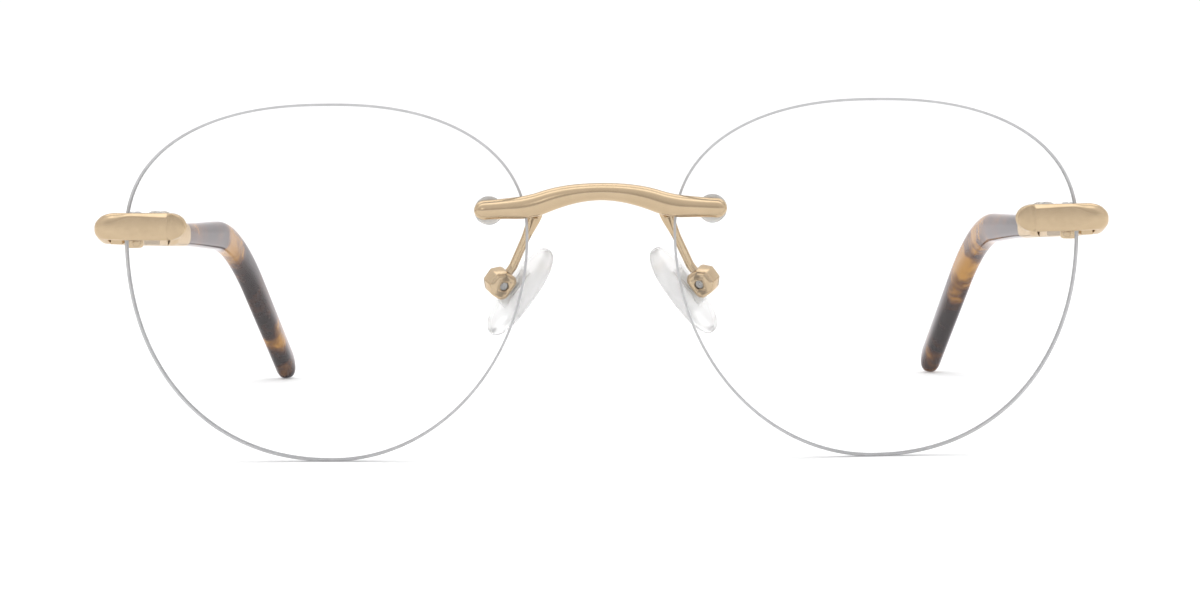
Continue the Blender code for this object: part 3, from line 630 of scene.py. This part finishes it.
def lens_shape():
    """Front and back faces with a ground edge between two fine chamfers."""
    angles = [math.tau * k / LENS_STEPS for k in range(LENS_STEPS)]
    front = [[lens_front(*lens_outline(angle, scale)) for angle in angles]
             for scale in (0.04, 0.2, 0.4, 0.55, 0.7, 0.8, 0.9, 0.96)]
    rim = [lens_front(*lens_outline(angle)) for angle in angles]
    inner = []
    for angle, point in zip(angles, rim):
        reach = math.hypot(point.x - LENS_CENTRE.x, point.z - LENS_CENTRE.z)
        inner.append(lens_front(*lens_outline(angle, 1.0 - LENS_CHAMFER / reach)))
    front.append(inner)
    back = [[point + Y_AXIS * LENS_THICKNESS for point in ring] for ring in reversed(front)]
    edges = [[point + Y_AXIS * depth for point in rim]
             for depth in (LENS_CHAMFER, LENS_THICKNESS - LENS_CHAMFER)]
    return loft(front + edges + back)


def make_lens(side_name, side, materials):
    """A drilled lens whose ground edge has a material of its own."""
    lens = new_object(f"lens_{side_name}", lens_shape(), side, 20.0)
    for hole in (NASAL_HOLE, TEMPORAL_HOLE):
        drill = turned(hole_frame(hole), [(LENS_HOLE_RADIUS, height) for height in LENS_DRILL])
        combine(lens, drill, "DIFFERENCE", side)
    dress(lens, "front", materials, "lens")
    lens.data.materials.append(materials["lens_edge"])
    lens.data.set_sharp_from_angle(angle=math.radians(20.0))
    for face in lens.data.polygons:
        if abs(face.normal.y) < SIDEWAYS:
            face.material_index = 1


# ---------------------------------------------------------------- screw mounts

def make_mount(prefix, side_name, side, hole, materials):
    """Washer, bush, rear washer, nut and stud of one hole through the lens."""
    base = hole_frame(hole)
    washer_front = -FRONT_WASHER[1] - GAP
    flange_front = LENS_THICKNESS + GAP
    flange_back = flange_front + BUSH_FLANGE[1]
    rear_front = flange_back + GAP
    rear_back = rear_front + REAR_WASHER[1]
    nut_front = rear_back + GAP
    nut_back = nut_front + NUT_HEIGHT
    shapes = {
        "front_washer": turned_ring(base, CLEAR_RADIUS, disc_profile(
            FRONT_WASHER[0], washer_front, -GAP, 0.12 * MM)),
        "lens_bush": turned_ring(base, CLEAR_RADIUS, [
            (BUSH_RADIUS, GAP), (BUSH_RADIUS, flange_front)]
            + disc_profile(BUSH_FLANGE[0], flange_front, flange_back, 0.10 * MM)),
        "rear_washer": turned_ring(base, CLEAR_RADIUS, disc_profile(
            REAR_WASHER[0], rear_front, rear_back, 0.06 * MM)),
        "nut": nut_shape(base, nut_front, nut_back),
        "stud": turned(base, [
            (STUD_RADIUS, washer_front - SOCKET_DEPTH), (STUD_RADIUS, nut_back + STUD_PROUD * 0.6),
            (STUD_RADIUS * 0.93, nut_back + STUD_PROUD * 0.85),
            (STUD_RADIUS * 0.7, nut_back + STUD_PROUD)]),
    }
    kinds = {"front_washer": "clear", "lens_bush": "clear", "rear_washer": "gold", "nut": "gold",
             "stud": "steel"}
    for part, shape in shapes.items():
        piece = new_object(f"{prefix}_{part}_{side_name}", shape, side)
        dress(piece, "front", materials, kinds[part])


def nut_shape(base, start, stop):
    """A hexagon nut, chamfered at the back, with a round bore."""
    steps = 48
    outline = []
    for k in range(steps):
        angle = math.tau * k / steps
        within = (angle + math.pi / 6) % (math.pi / 3) - math.pi / 6
        reach = min(NUT_FLATS / 2 / math.cos(within - math.copysign(math.pi / 6, within)),
                    NUT_FLATS / 2 * 1.13)
        outline.append((reach * math.cos(angle), reach * math.sin(angle)))
    bore = [(CLEAR_RADIUS * math.cos(math.tau * k / steps),
             CLEAR_RADIUS * math.sin(math.tau * k / steps)) for k in range(steps)]
    levels = ((outline, 0.95, start), (outline, 1.0, start + 0.08 * MM),
              (outline, 1.0, stop - 0.25 * MM), (outline, 0.86, stop),
              (bore, 1.15, stop), (bore, 1.0, stop - 0.1 * MM), (bore, 1.0, start))
    rings = []
    for points, scale, height in levels:
        rings.append([base @ Vector((x * scale, y * scale, height)) for x, y in points])
    return loft(rings, loop=True)


def cut_stud_socket(piece, hole, side):
    """A blind socket in a bar, which the stud is brazed into."""
    deep = -FRONT_WASHER[1] - SOCKET_DEPTH - 3 * GAP
    socket = turned(hole_frame(hole), [(CLEAR_RADIUS, deep), (CLEAR_RADIUS, 1.0 * MM)])
    combine(piece, socket, "DIFFERENCE", side)


# ---------------------------------------------------------------- bridge

def bridge_path():
    """Half arch, reverse arc and drooping end on each side, in the bar's back plane."""
    half = []
    for k in range(41):
        angle = ARCH_TURN * k / 40
        half.append((ARCH_RADIUS * math.sin(angle),
                     BRIDGE_TOP_Z - ARCH_RADIUS * (1.0 - math.cos(angle))))
    foot_x, foot_z = half[-1]
    for k in range(1, 24):
        angle = ARCH_TURN + (END_DROOP - ARCH_TURN) * k / 23
        half.append((foot_x + FOOT_RADIUS * (math.sin(ARCH_TURN) - math.sin(angle)),
                     foot_z + FOOT_RADIUS * (math.cos(ARCH_TURN) - math.cos(angle))))
    end_x, end_z = half[-1]
    half.append((BRIDGE_HALF, end_z - (BRIDGE_HALF - end_x) * math.tan(END_DROOP)))
    points = [(-x, z) for x, z in reversed(half[1:])] + half
    return [Vector((x, BRIDGE_BACK_Y, z)) for x, z in points]


def half_round(depth, height, corner, steps=30):
    """A flat back at 0 with soft corners, and a crowned front towards -Y."""
    lower = []
    for k in range(4):
        angle = 0.5 * math.pi * k / 3
        lower.append((-corner * (1.0 - math.cos(angle)),
                      -height / 2 + corner * (1.0 - math.sin(angle))))
    upper = [(across, -up) for across, up in reversed(lower)]
    front = []
    for k in range(1, steps):
        angle = math.pi * k / steps
        front.append((-corner - (depth - corner) * math.sin(angle), -height / 2 * math.cos(angle)))
    return lower + front + upper


def make_bridge(materials):
    """The bar, half round in section, with round ends and a stud socket in each."""
    path = bridge_path()
    length = path_length(path)
    end_radius = BRIDGE_HEIGHTS[-1][1] / 2
    distances = end_stations(end_radius) + spread(end_radius, length / 2, 60)
    distances += [length - distance for distance in reversed(distances[:-1])]

    def section(distance):
        size = rounded_end(min(distance, length - distance), end_radius)
        height = between(abs(distance - length / 2), BRIDGE_HEIGHTS)
        return half_round(BRIDGE_DEPTH * (0.35 + 0.65 * size), height * size, 0.18 * MM * size)

    bridge = new_object("bridge", swept(path, distances, section), 1)
    for _, side in SIDES:
        cut_stud_socket(bridge, NASAL_HOLE, side)
    dress(bridge, "front", materials, "gold")


# ---------------------------------------------------------------- end piece

def endpiece_path():
    """Along the lens front, round the corner, and back to the temple."""
    base = hole_frame(TEMPORAL_HOLE)
    backward = base.col[2].to_3d()
    along = Vector((backward.y, -backward.x, 0.0)).normalized()
    lift = FRONT_WASHER[1] + 2.5 * GAP + ENDPIECE_THICKNESS / 2
    middle = base.translation - backward * lift
    middle.z = ENDPIECE_Z
    nose = middle - along * ENDPIECE_NOSE
    reach = (TEMPLE_FRONT.x - middle.x) / along.x
    corner = middle + along * reach
    corner.z = ENDPIECE_Z
    level = Vector((TEMPLE_FRONT.x, BUTT_Y - 2.0 * MM, TEMPLE_FRONT.z))
    end = Vector((TEMPLE_FRONT.x, BUTT_Y, TEMPLE_FRONT.z))
    return rounded_path([nose, corner, level, end], [2.4 * MM, 8.0 * MM])


def bar_section(front, back, height, bevel, bevel_round, back_round, arc_steps):
    """A bar's section from -front to back: two bevels in front and two rounds behind."""
    half = height / 2
    corners = [Vector((across, up, 0.0)) for across, up in (
        (back, 0.0), (back, half), (bevel - front, half), (-front, half - bevel),
        (-front, bevel - half), (bevel - front, -half), (back, -half), (back, 0.0))]
    radii = [back_round] + [bevel_round] * 4 + [back_round]
    return [(point.x, point.y) for point in rounded_path(corners, radii, arc_steps)[:-1]]


def make_endpiece(side_name, side, materials):
    """A bevelled bar, with a round nose that slopes back from a crease."""
    path = endpiece_path()
    length = path_length(path)
    cone = 2.1 * MM
    corner = (path[1] - path[0]).length
    distances = [0.02 * MM + cone * (1.0 - math.cos(0.5 * math.pi * k / 14)) for k in range(14)]
    distances += [cone] + spread(cone + 0.3 * MM, length - 0.15 * MM, 70) + [length]
    stations = (cone - 0.4 * MM, cone, corner - 2.5 * MM, corner + 0.5 * MM)
    bevels = list(zip(stations, (0.10 * MM, 0.55 * MM, 0.40 * MM, 0.85 * MM)))
    bevel_rounds = list(zip(stations, (0.05 * MM, 0.20 * MM, 0.30 * MM, 1.20 * MM)))

    def section(distance):
        height = rounded_end(distance, cone) * between(distance, [
            (corner, ENDPIECE_HEIGHT), (corner + 3.0 * MM, ENDPIECE_BACK_HEIGHT)])
        half = ENDPIECE_THICKNESS / 2
        slope = NOSE_RECESS * max(1.0 - distance / cone, 0.0)
        bevel = between(distance, bevels)
        bevel_round = between(distance, bevel_rounds)
        back_round = between(distance, [(0.0, 0.10 * MM), (cone, 0.25 * MM)])
        if distance == length:
            height -= 0.2 * MM
            half -= 0.1 * MM
        return bar_section(half - slope, half, height, bevel, bevel_round, back_round, 5)

    endpiece = new_object(f"endpiece_{side_name}", swept(path, distances, section), side, 18.0)
    cut_stud_socket(endpiece, TEMPORAL_HOLE, side)
    dress(endpiece, "front", materials, "gold")


# ---------------------------------------------------------------- hinge

def hinge_frame():
    """Upright on the hinge axis, at the barrel's middle."""
    return Matrix.Translation(HINGE_AXIS)


def knuckle(low, high):
    return turned(hinge_frame(), [(KNUCKLE_RADIUS, low), (KNUCKLE_RADIUS, high)])


def domed_knuckle(low, high):
    """A knuckle whose lower end is a shallow dome."""
    return turned(hinge_frame(), [
        (0.70 * KNUCKLE_RADIUS, low), (0.82 * KNUCKLE_RADIUS, low + 0.06 * MM),
        (0.92 * KNUCKLE_RADIUS, low + 0.20 * MM), (0.98 * KNUCKLE_RADIUS, low + 0.38 * MM),
        (KNUCKLE_RADIUS, low + 0.55 * MM), (KNUCKLE_RADIUS, high)])


def leaf_block(x, y, z):
    """A block given by its x, y and z spans, with z from the hinge's middle."""
    low = (x[0], y[0], HINGE_AXIS.z + z[0])
    high = (x[1], y[1], HINGE_AXIS.z + z[1])
    return block(Matrix.Identity(4), low, high)


def make_hinge(side_name, side, materials):
    """Two leaves with three knuckles, two washers, and a screw with a slotted head."""
    half = BARREL_HEIGHT / 2
    outer_low = MIDDLE_KNUCKLE / 2 + HINGE_WASHER + 2 * GAP
    plate_x = (LEAF_INNER_X, OUTER_X - ENDPIECE_THICKNESS - GAP)
    web_x = (HINGE_AXIS.x, LEAF_INNER_X + WEB_OVERLAP)
    plate_z = (-LEAF_HALF_HEIGHT, LEAF_HALF_HEIGHT)
    middle = (-MIDDLE_KNUCKLE / 2, MIDDLE_KNUCKLE / 2)

    front_plate = leaf_block(plate_x, FRONT_LEAF_Y, plate_z)
    front_leaf = new_object(f"hinge_front_leaf_{side_name}", front_plate, side)
    for low, high, barrel in ((-half, -outer_low, domed_knuckle), (outer_low, half, knuckle)):
        web_z = (max(low, -LEAF_HALF_HEIGHT), min(high, LEAF_HALF_HEIGHT))
        combine(front_leaf, leaf_block(web_x, (FRONT_WEB_Y, HINGE_AXIS.y), web_z), "UNION", side)
        combine(front_leaf, barrel(low, high), "UNION", side)
    temple_plate = leaf_block(plate_x, TEMPLE_LEAF_Y, plate_z)
    temple_leaf = new_object(f"hinge_temple_leaf_{side_name}", temple_plate, side)
    combine(temple_leaf, leaf_block(web_x, (HINGE_AXIS.y, TEMPLE_WEB_Y), middle), "UNION", side)
    combine(temple_leaf, knuckle(*middle), "UNION", side)
    for leaf, body in ((front_leaf, "front"), (temple_leaf, f"temple_{side_name}")):
        bore = turned(hinge_frame(), [(HINGE_BORE_RADIUS, -THROUGH), (HINGE_BORE_RADIUS, THROUGH)])
        combine(leaf, bore, "DIFFERENCE", side)
        soften(leaf, LEAF_ROUNDING, 3)
        dress(leaf, body, materials, "gold")

    for level, low in (("upper", MIDDLE_KNUCKLE / 2 + GAP),
                       ("lower", -MIDDLE_KNUCKLE / 2 - GAP - HINGE_WASHER)):
        profile = disc_profile(KNUCKLE_RADIUS, low, low + HINGE_WASHER, 0.04 * MM)
        shape = turned_ring(hinge_frame(), HINGE_BORE_RADIUS, profile)
        washer = new_object(f"hinge_washer_{level}_{side_name}", shape, side)
        dress(washer, "front", materials, "nylon")

    head_low = half + GAP
    screw = new_object(f"hinge_screw_{side_name}", turned(hinge_frame(), [
        (HINGE_SCREW_RADIUS, -half + 0.1 * MM), (HINGE_SCREW_RADIUS, head_low),
        (0.90 * MM, head_low), (0.95 * MM, head_low + 0.06 * MM), (0.95 * MM, head_low + 0.22 * MM),
        (0.88 * MM, head_low + 0.34 * MM), (0.72 * MM, head_low + 0.40 * MM)]), side)
    slot = leaf_block((HINGE_AXIS.x - 0.12 * MM, HINGE_AXIS.x + 0.12 * MM),
                      (HINGE_AXIS.y - 1.2 * MM, HINGE_AXIS.y + 1.2 * MM),
                      (head_low + 0.20 * MM, head_low + 1.0 * MM))
    combine(screw, slot, "DIFFERENCE", side)
    dress(screw, "front", materials, "steel")


# ---------------------------------------------------------------- temple

def temple_path():
    return rounded_path([TEMPLE_FRONT, TEMPLE_SHOULDER, TEMPLE_BEND, TEMPLE_END],
                        [20.0 * MM, BEND_RADIUS])


def make_temple_arm(side_name, side, path, materials):
    """Hinge block and flat arm, hatched on its inner face."""
    start = 0.12 * MM
    distances = [0.0, start] + spread(start + 0.2 * MM, ARM_LENGTH, 70)

    def section(distance):
        width = between(distance, [(6.4 * MM, ENDPIECE_THICKNESS), (12.0 * MM, ARM_THICKNESS)])
        height = between(distance, [(6.0 * MM, ENDPIECE_BACK_HEIGHT), (20.0 * MM, ARM_HEIGHT)])
        power = between(distance, [(0.0, 2.3), (12.0 * MM, 5.0)])
        if distance == 0.0:
            height -= 0.2 * MM
            width -= 0.2 * MM
        return oval(width, height, power, 40)

    arm = new_object(f"temple_arm_{side_name}", swept(path, distances, section), side)
    dress(arm, f"temple_{side_name}", materials, "gold")
    arm.data.materials.append(materials["etched"])
    for face in arm.data.polygons:
        inner = face.normal.x * side < -0.9
        banded = HATCHED_SPAN[0] < face.center.y - FRONT_Y - BUTT_Y < HATCHED_SPAN[1]
        if inner and banded:
            face.material_index = 1


def make_ferrule(side_name, side, path, materials):
    """A collar that thickens from the flat arm to the tip."""
    start = FERRULE_START
    stop = start + FERRULE_LENGTH
    distances = [start, start + 0.1 * MM] + spread(start + 0.3 * MM, stop - 0.12 * MM, 40) + [stop]

    def section(distance):
        width = between(distance, [(start, 1.9 * MM), (start + 3.5 * MM, 2.9 * MM), (stop, 3.1 * MM)])
        height = between(distance, [(start, 3.3 * MM), (stop, 3.4 * MM)])
        if distance in (start, stop):
            width -= 0.16 * MM
            height -= 0.16 * MM
        return oval(width, height, 3.2, 40)

    ferrule = new_object(f"temple_ferrule_{side_name}", swept(path, distances, section), side)
    dress(ferrule, f"temple_{side_name}", materials, "gold")


def make_tip(side_name, side, path, materials):
    """The acetate tip: slim at the ferrule, deeper past the bend, with a rounded end."""
    start = TIP_START
    length = path_length(path)
    end_radius = 2.6 * MM
    distances = [start, start + 0.12 * MM] + spread(start + 0.4 * MM, length - end_radius, 120)
    distances += [length - distance for distance in reversed(end_stations(end_radius, 10))]

    def section(distance):
        size = rounded_end(length - distance, end_radius)
        width = between(distance, [
            (start, 3.0 * MM), (TIP_BEND_START, 3.2 * MM), (length, 3.3 * MM)])
        height = between(distance, [(start, 3.3 * MM), (TIP_BEND_START, 4.5 * MM),
                                    (length - 8.0 * MM, 5.6 * MM), (length, 5.4 * MM)])
        if distance == start:
            width -= 0.2 * MM
            height -= 0.2 * MM
        points = oval(width * (0.4 + 0.6 * size), height * (0.3 + 0.7 * size), 2.6, 40)
        roll = between(distance, [(TIP_BEND_START, 0.0), (TIP_BEND_STOP, TIP_ROLL)])
        return rolled(points, roll)

    tip = new_object(f"temple_tip_{side_name}", swept(path, distances, section), side)
    dress(tip, f"temple_{side_name}", materials, "acetate")


# ---------------------------------------------------------------- nose pads

def pad_frame():
    """On the rocking axis: first along the pad, second the axis itself, third to the nose."""
    along = Vector((-math.sin(PAD_FRONTAL_ANGLE), 0.0, math.cos(PAD_FRONTAL_ANGLE)))
    outward = Vector((math.cos(PAD_FRONTAL_ANGLE), 0.0, math.sin(PAD_FRONTAL_ANGLE)))
    to_nose = Y_AXIS * math.sin(PAD_SPLAY_ANGLE) - outward * math.cos(PAD_SPLAY_ANGLE)
    axis = to_nose.cross(along)
    base = Matrix((along, axis, to_nose)).transposed().to_4x4()
    base.translation = PAD_AXIS_POINT
    return base


def axis_frame(base):
    """The pad frame turned so that its third axis is the rocking axis."""
    across = Matrix((base.col[2].to_3d(), base.col[0].to_3d(), base.col[1].to_3d()))
    across = across.transposed().to_4x4()
    across.translation = base.translation
    return across


def pad_shape(base):
    """A smooth pebble with a superellipse outline."""
    half_length, half_width, half_thickness = PAD_HALF
    rings = []
    count = 28
    for k in range(count + 1):
        level = -0.5 * math.pi * 0.98 + math.pi * 0.98 * k / count
        size = math.cos(level) ** 0.8
        height = PAD_OFFSET + half_thickness * math.sin(level)
        rings.append([base @ Vector((PAD_SHIFT + x, y, height))
                      for x, y in oval(2 * half_length * size, 2 * half_width * size, 2.5, 64)])
    return loft(rings)


def box_shape(base):
    """An eight-sided box round the rocking axis, chamfered at its front."""
    rings = []
    for level, scale in ((-BOX_HALF_WIDTH, 1.0 - BOX_CHAMFER / (1.75 * MM)),
                         (-BOX_HALF_WIDTH + BOX_CHAMFER, 1.0), (BOX_HALF_WIDTH, 1.0)):
        rings.append([base @ Vector((along * scale, level, nose * scale))
                      for along, nose in BOX_OUTLINE])
    return loft(rings)


def make_pad(side_name, side, materials):
    """Box and screw on the front; insert and cushion, which rock on the screw."""
    base = pad_frame()
    across = axis_frame(base)
    body = f"pad_{side_name}"

    slot_x, slot_y = BOX_SLOT_HALF
    box = new_object(f"pad_box_{side_name}", box_shape(base), side)
    soften(box, BOX_ROUNDING, 4, 20.0)
    combine(box, block(base, (-slot_x, -slot_y, BOX_SLOT_FLOOR), (slot_x, slot_y, THROUGH)),
            "DIFFERENCE", side)
    combine(box, turned(across, [(BOX_BORE, -THROUGH), (BOX_BORE, THROUGH)]), "DIFFERENCE", side)
    dress(box, "front", materials, "gold")

    head = BOX_HALF_WIDTH
    screw = new_object(f"pad_screw_{side_name}", turned(across, [
        (PAD_SCREW_RADIUS, -1.25 * MM), (PAD_SCREW_RADIUS, head + GAP), (0.80 * MM, head + GAP),
        (0.85 * MM, head + 0.10 * MM), (0.85 * MM, head + 0.30 * MM),
        (0.76 * MM, head + 0.42 * MM), (0.60 * MM, head + 0.45 * MM)]), side)
    dress(screw, "front", materials, "steel")

    plate_back = PAD_OFFSET - 1.1 * MM
    plate_x, plate_y = INSERT_HALF
    tab_x, tab_y = TAB_HALF
    insert = new_object(f"pad_insert_{side_name}",
                        block(base, (PAD_SHIFT - plate_x, -plate_y, plate_back),
                              (PAD_SHIFT + plate_x, plate_y, plate_back + INSERT_THICKNESS)), side)
    combine(insert, block(base, (-tab_x, -tab_y, 0.0), (tab_x, tab_y, plate_back + 0.3 * MM)),
            "UNION", side)
    combine(insert, turned(across, [(tab_x, -tab_y), (tab_x, tab_y)]), "UNION", side)
    combine(insert, turned(across, [(TAB_BORE, -THROUGH), (TAB_BORE, THROUGH)]), "DIFFERENCE", side)
    dress(insert, body, materials, "clear")

    pocket_x, pocket_y = POCKET_HALF
    cushion = new_object(f"nose_pad_{side_name}", pad_shape(base), side)
    combine(cushion, block(base, (PAD_SHIFT - pocket_x, -pocket_y, PAD_OFFSET - THROUGH),
                           (PAD_SHIFT + pocket_x, pocket_y, PAD_OFFSET - 0.35 * MM)),
            "DIFFERENCE", side)
    dress(cushion, body, materials, "silicone")


def make_pad_arm(side_name, side, materials):
    """A round wire from the bridge's back, behind the lens edge, down to the pad box."""
    along = pad_frame().col[0].to_3d()
    box_top = PAD_AXIS_POINT + along * (BOX_OUTLINE[0][0] + GAP)
    corners = [PAD_ARM_ROOT, PAD_ARM_BEND, box_top + along * 0.9 * MM, box_top]
    path = rounded_path(corners, [0.9 * MM, 0.8 * MM], 16)
    distances = spread(0.0, path_length(path), 90)

    def section(distance):
        width = 2 * between(distance, PAD_ARM_RADII)
        return oval(width, width, 2.0, 24)

    arm = new_object(f"pad_arm_{side_name}", swept(path, distances, section), side)
    dress(arm, "front", materials, "gold")


# ---------------------------------------------------------------- stage

def make_stage():
    """A pale floor that curves up into a backdrop far behind the glasses."""
    half_width = 3.0
    front = -3.0
    curve_start = 1.2
    radius = 0.8
    top = 3.0
    profile = [(front, 0.0), (curve_start, 0.0)]
    for k in range(1, 25):
        angle = 0.5 * math.pi * k / 24
        profile.append((curve_start + radius * math.sin(angle), radius * (1.0 - math.cos(angle))))
    profile.append((curve_start + radius, top))
    shape = bmesh.new()
    rows = [[shape.verts.new((x, y, z)) for x in (-half_width, half_width)] for y, z in profile]
    for row, following in zip(rows, rows[1:]):
        shape.faces.new((row[0], row[1], following[1], following[0]))
    mesh = bpy.data.meshes.new("studio_floor")
    shape.to_mesh(mesh)
    shape.free()
    mesh.shade_smooth()
    floor = bpy.data.objects.new("studio_floor", mesh)
    bpy.context.collection.objects.link(floor)
    material, nodes, links = new_material("pale_floor")
    set_inputs(nodes["Principled BSDF"], {
        "Base Color": (0.85, 0.85, 0.85, 1.0), "Roughness": 0.9, "Specular IOR Level": 0.1,
        "Emission Color": (1.0, 1.0, 1.0, 1.0), "Emission Strength": 0.20})
    mesh.materials.append(material)


def make_world():
    """Soft light from all round, dimmest from straight in front and brightest from behind."""
    world = bpy.data.worlds.new("studio")
    bpy.context.scene.world = world
    world.use_nodes = True
    nodes = world.node_tree.nodes
    links = world.node_tree.links
    background = nodes["Background"]
    place = nodes.new("ShaderNodeTexCoord")
    split = nodes.new("ShaderNodeSeparateXYZ")
    links.new(place.outputs["Generated"], split.inputs["Vector"])
    sky = ramp(nodes, links, split.outputs["Z"],
               [(0.0, (0.82, 0.82, 0.83)), (0.35, (0.82, 0.82, 0.83)), (1.0, (0.98, 0.98, 0.98))])
    links.new(sky, background.inputs["Color"])
    depth = nodes.new("ShaderNodeMapRange")
    set_inputs(depth, {"From Min": -1.0, "From Max": 1.0})
    links.new(split.outputs["Y"], depth.inputs["Value"])
    level = ramp(nodes, links, depth.outputs["Result"],
                 [(0.0, (0.82, 0.82, 0.82)), (0.11, (1.0, 1.0, 1.0)),
                  (0.28, (1.0, 1.0, 1.0)), (0.46, (1.26, 1.26, 1.26))])
    links.new(level, background.inputs["Strength"])


def area_light(name, location, target, size, power):
    """A white softbox that points at the target."""
    data = bpy.data.lights.new(name, "AREA")
    data.shape = "RECTANGLE"
    data.size, data.size_y = size
    data.energy = power
    lamp = bpy.data.objects.new(name, data)
    lamp.location = location
    lamp.rotation_mode = "QUATERNION"
    lamp.rotation_quaternion = (Vector(target) - Vector(location)).to_track_quat("-Z", "Y")
    bpy.context.collection.objects.link(lamp)


def make_lights():
    area_light("back_softbox", (0.0, 0.75, 0.95), (0.0, -0.05, 0.0), (1.6, 0.4), 2.2)
    area_light("top_strip", (0.0, 0.0, 1.0), (0.0, -0.05, 0.0), (1.6, 0.26), 1.15)
    area_light("front_fill", (-0.5, -1.3, 0.7), (0.0, -0.05, 0.02), (0.5, 0.5), 0.8)


# ---------------------------------------------------------------- camera

CAMERA_DISTANCE = 500.0 * MM    # in front of the lenses
CAMERA_PLACE = Vector((3.3 * MM, -CAMERA_DISTANCE + FRONT_Y, 50.1 * MM))
CAMERA_YAW = math.radians(-0.40)
CAMERA_PITCH = math.radians(3.39)
CAMERA_ROLL = math.radians(-0.60)
CAMERA_LENS = 119.7


def make_camera():
    """The photo's view: nearly square on, from a little above."""
    data = bpy.data.cameras.new("camera")
    data.lens = CAMERA_LENS
    data.sensor_width = 36.0
    data.clip_start = 0.01
    data.clip_end = 20.0
    camera = bpy.data.objects.new("camera", data)
    bpy.context.collection.objects.link(camera)
    forward = Vector((math.sin(CAMERA_YAW) * math.cos(CAMERA_PITCH),
                      math.cos(CAMERA_YAW) * math.cos(CAMERA_PITCH), -math.sin(CAMERA_PITCH)))
    level_right = Vector((math.cos(CAMERA_YAW), -math.sin(CAMERA_YAW), 0.0))
    level_up = level_right.cross(forward)
    right = math.cos(CAMERA_ROLL) * level_right + math.sin(CAMERA_ROLL) * level_up
    up = -math.sin(CAMERA_ROLL) * level_right + math.cos(CAMERA_ROLL) * level_up
    turn = Matrix((right, up, -forward)).transposed().to_4x4()
    turn.translation = CAMERA_PLACE
    camera.matrix_world = turn
    bpy.context.scene.camera = camera


# ---------------------------------------------------------------- scene

def main():
    materials = {
        "gold": gold_material(),
        "steel": steel_material(),
        "clear": clear_material(),
        "lens": lens_material(),
        "lens_edge": lens_edge_material(),
        "silicone": silicone_material(),
        "nylon": nylon_material(),
        "acetate": acetate_material(),
        "etched": etched_material(),
    }
    make_bridge(materials)
    path = temple_path()
    for side_name, side in SIDES:
        make_lens(side_name, side, materials)
        make_mount("bridge", side_name, side, NASAL_HOLE, materials)
        make_mount("endpiece", side_name, side, TEMPORAL_HOLE, materials)
        make_endpiece(side_name, side, materials)
        make_hinge(side_name, side, materials)
        make_temple_arm(side_name, side, path, materials)
        make_ferrule(side_name, side, path, materials)
        make_tip(side_name, side, path, materials)
        make_pad_arm(side_name, side, materials)
        make_pad(side_name, side, materials)
    make_stage()
    make_world()
    make_lights()
    make_camera()
    bpy.context.scene.view_settings.view_transform = "Standard"


main()
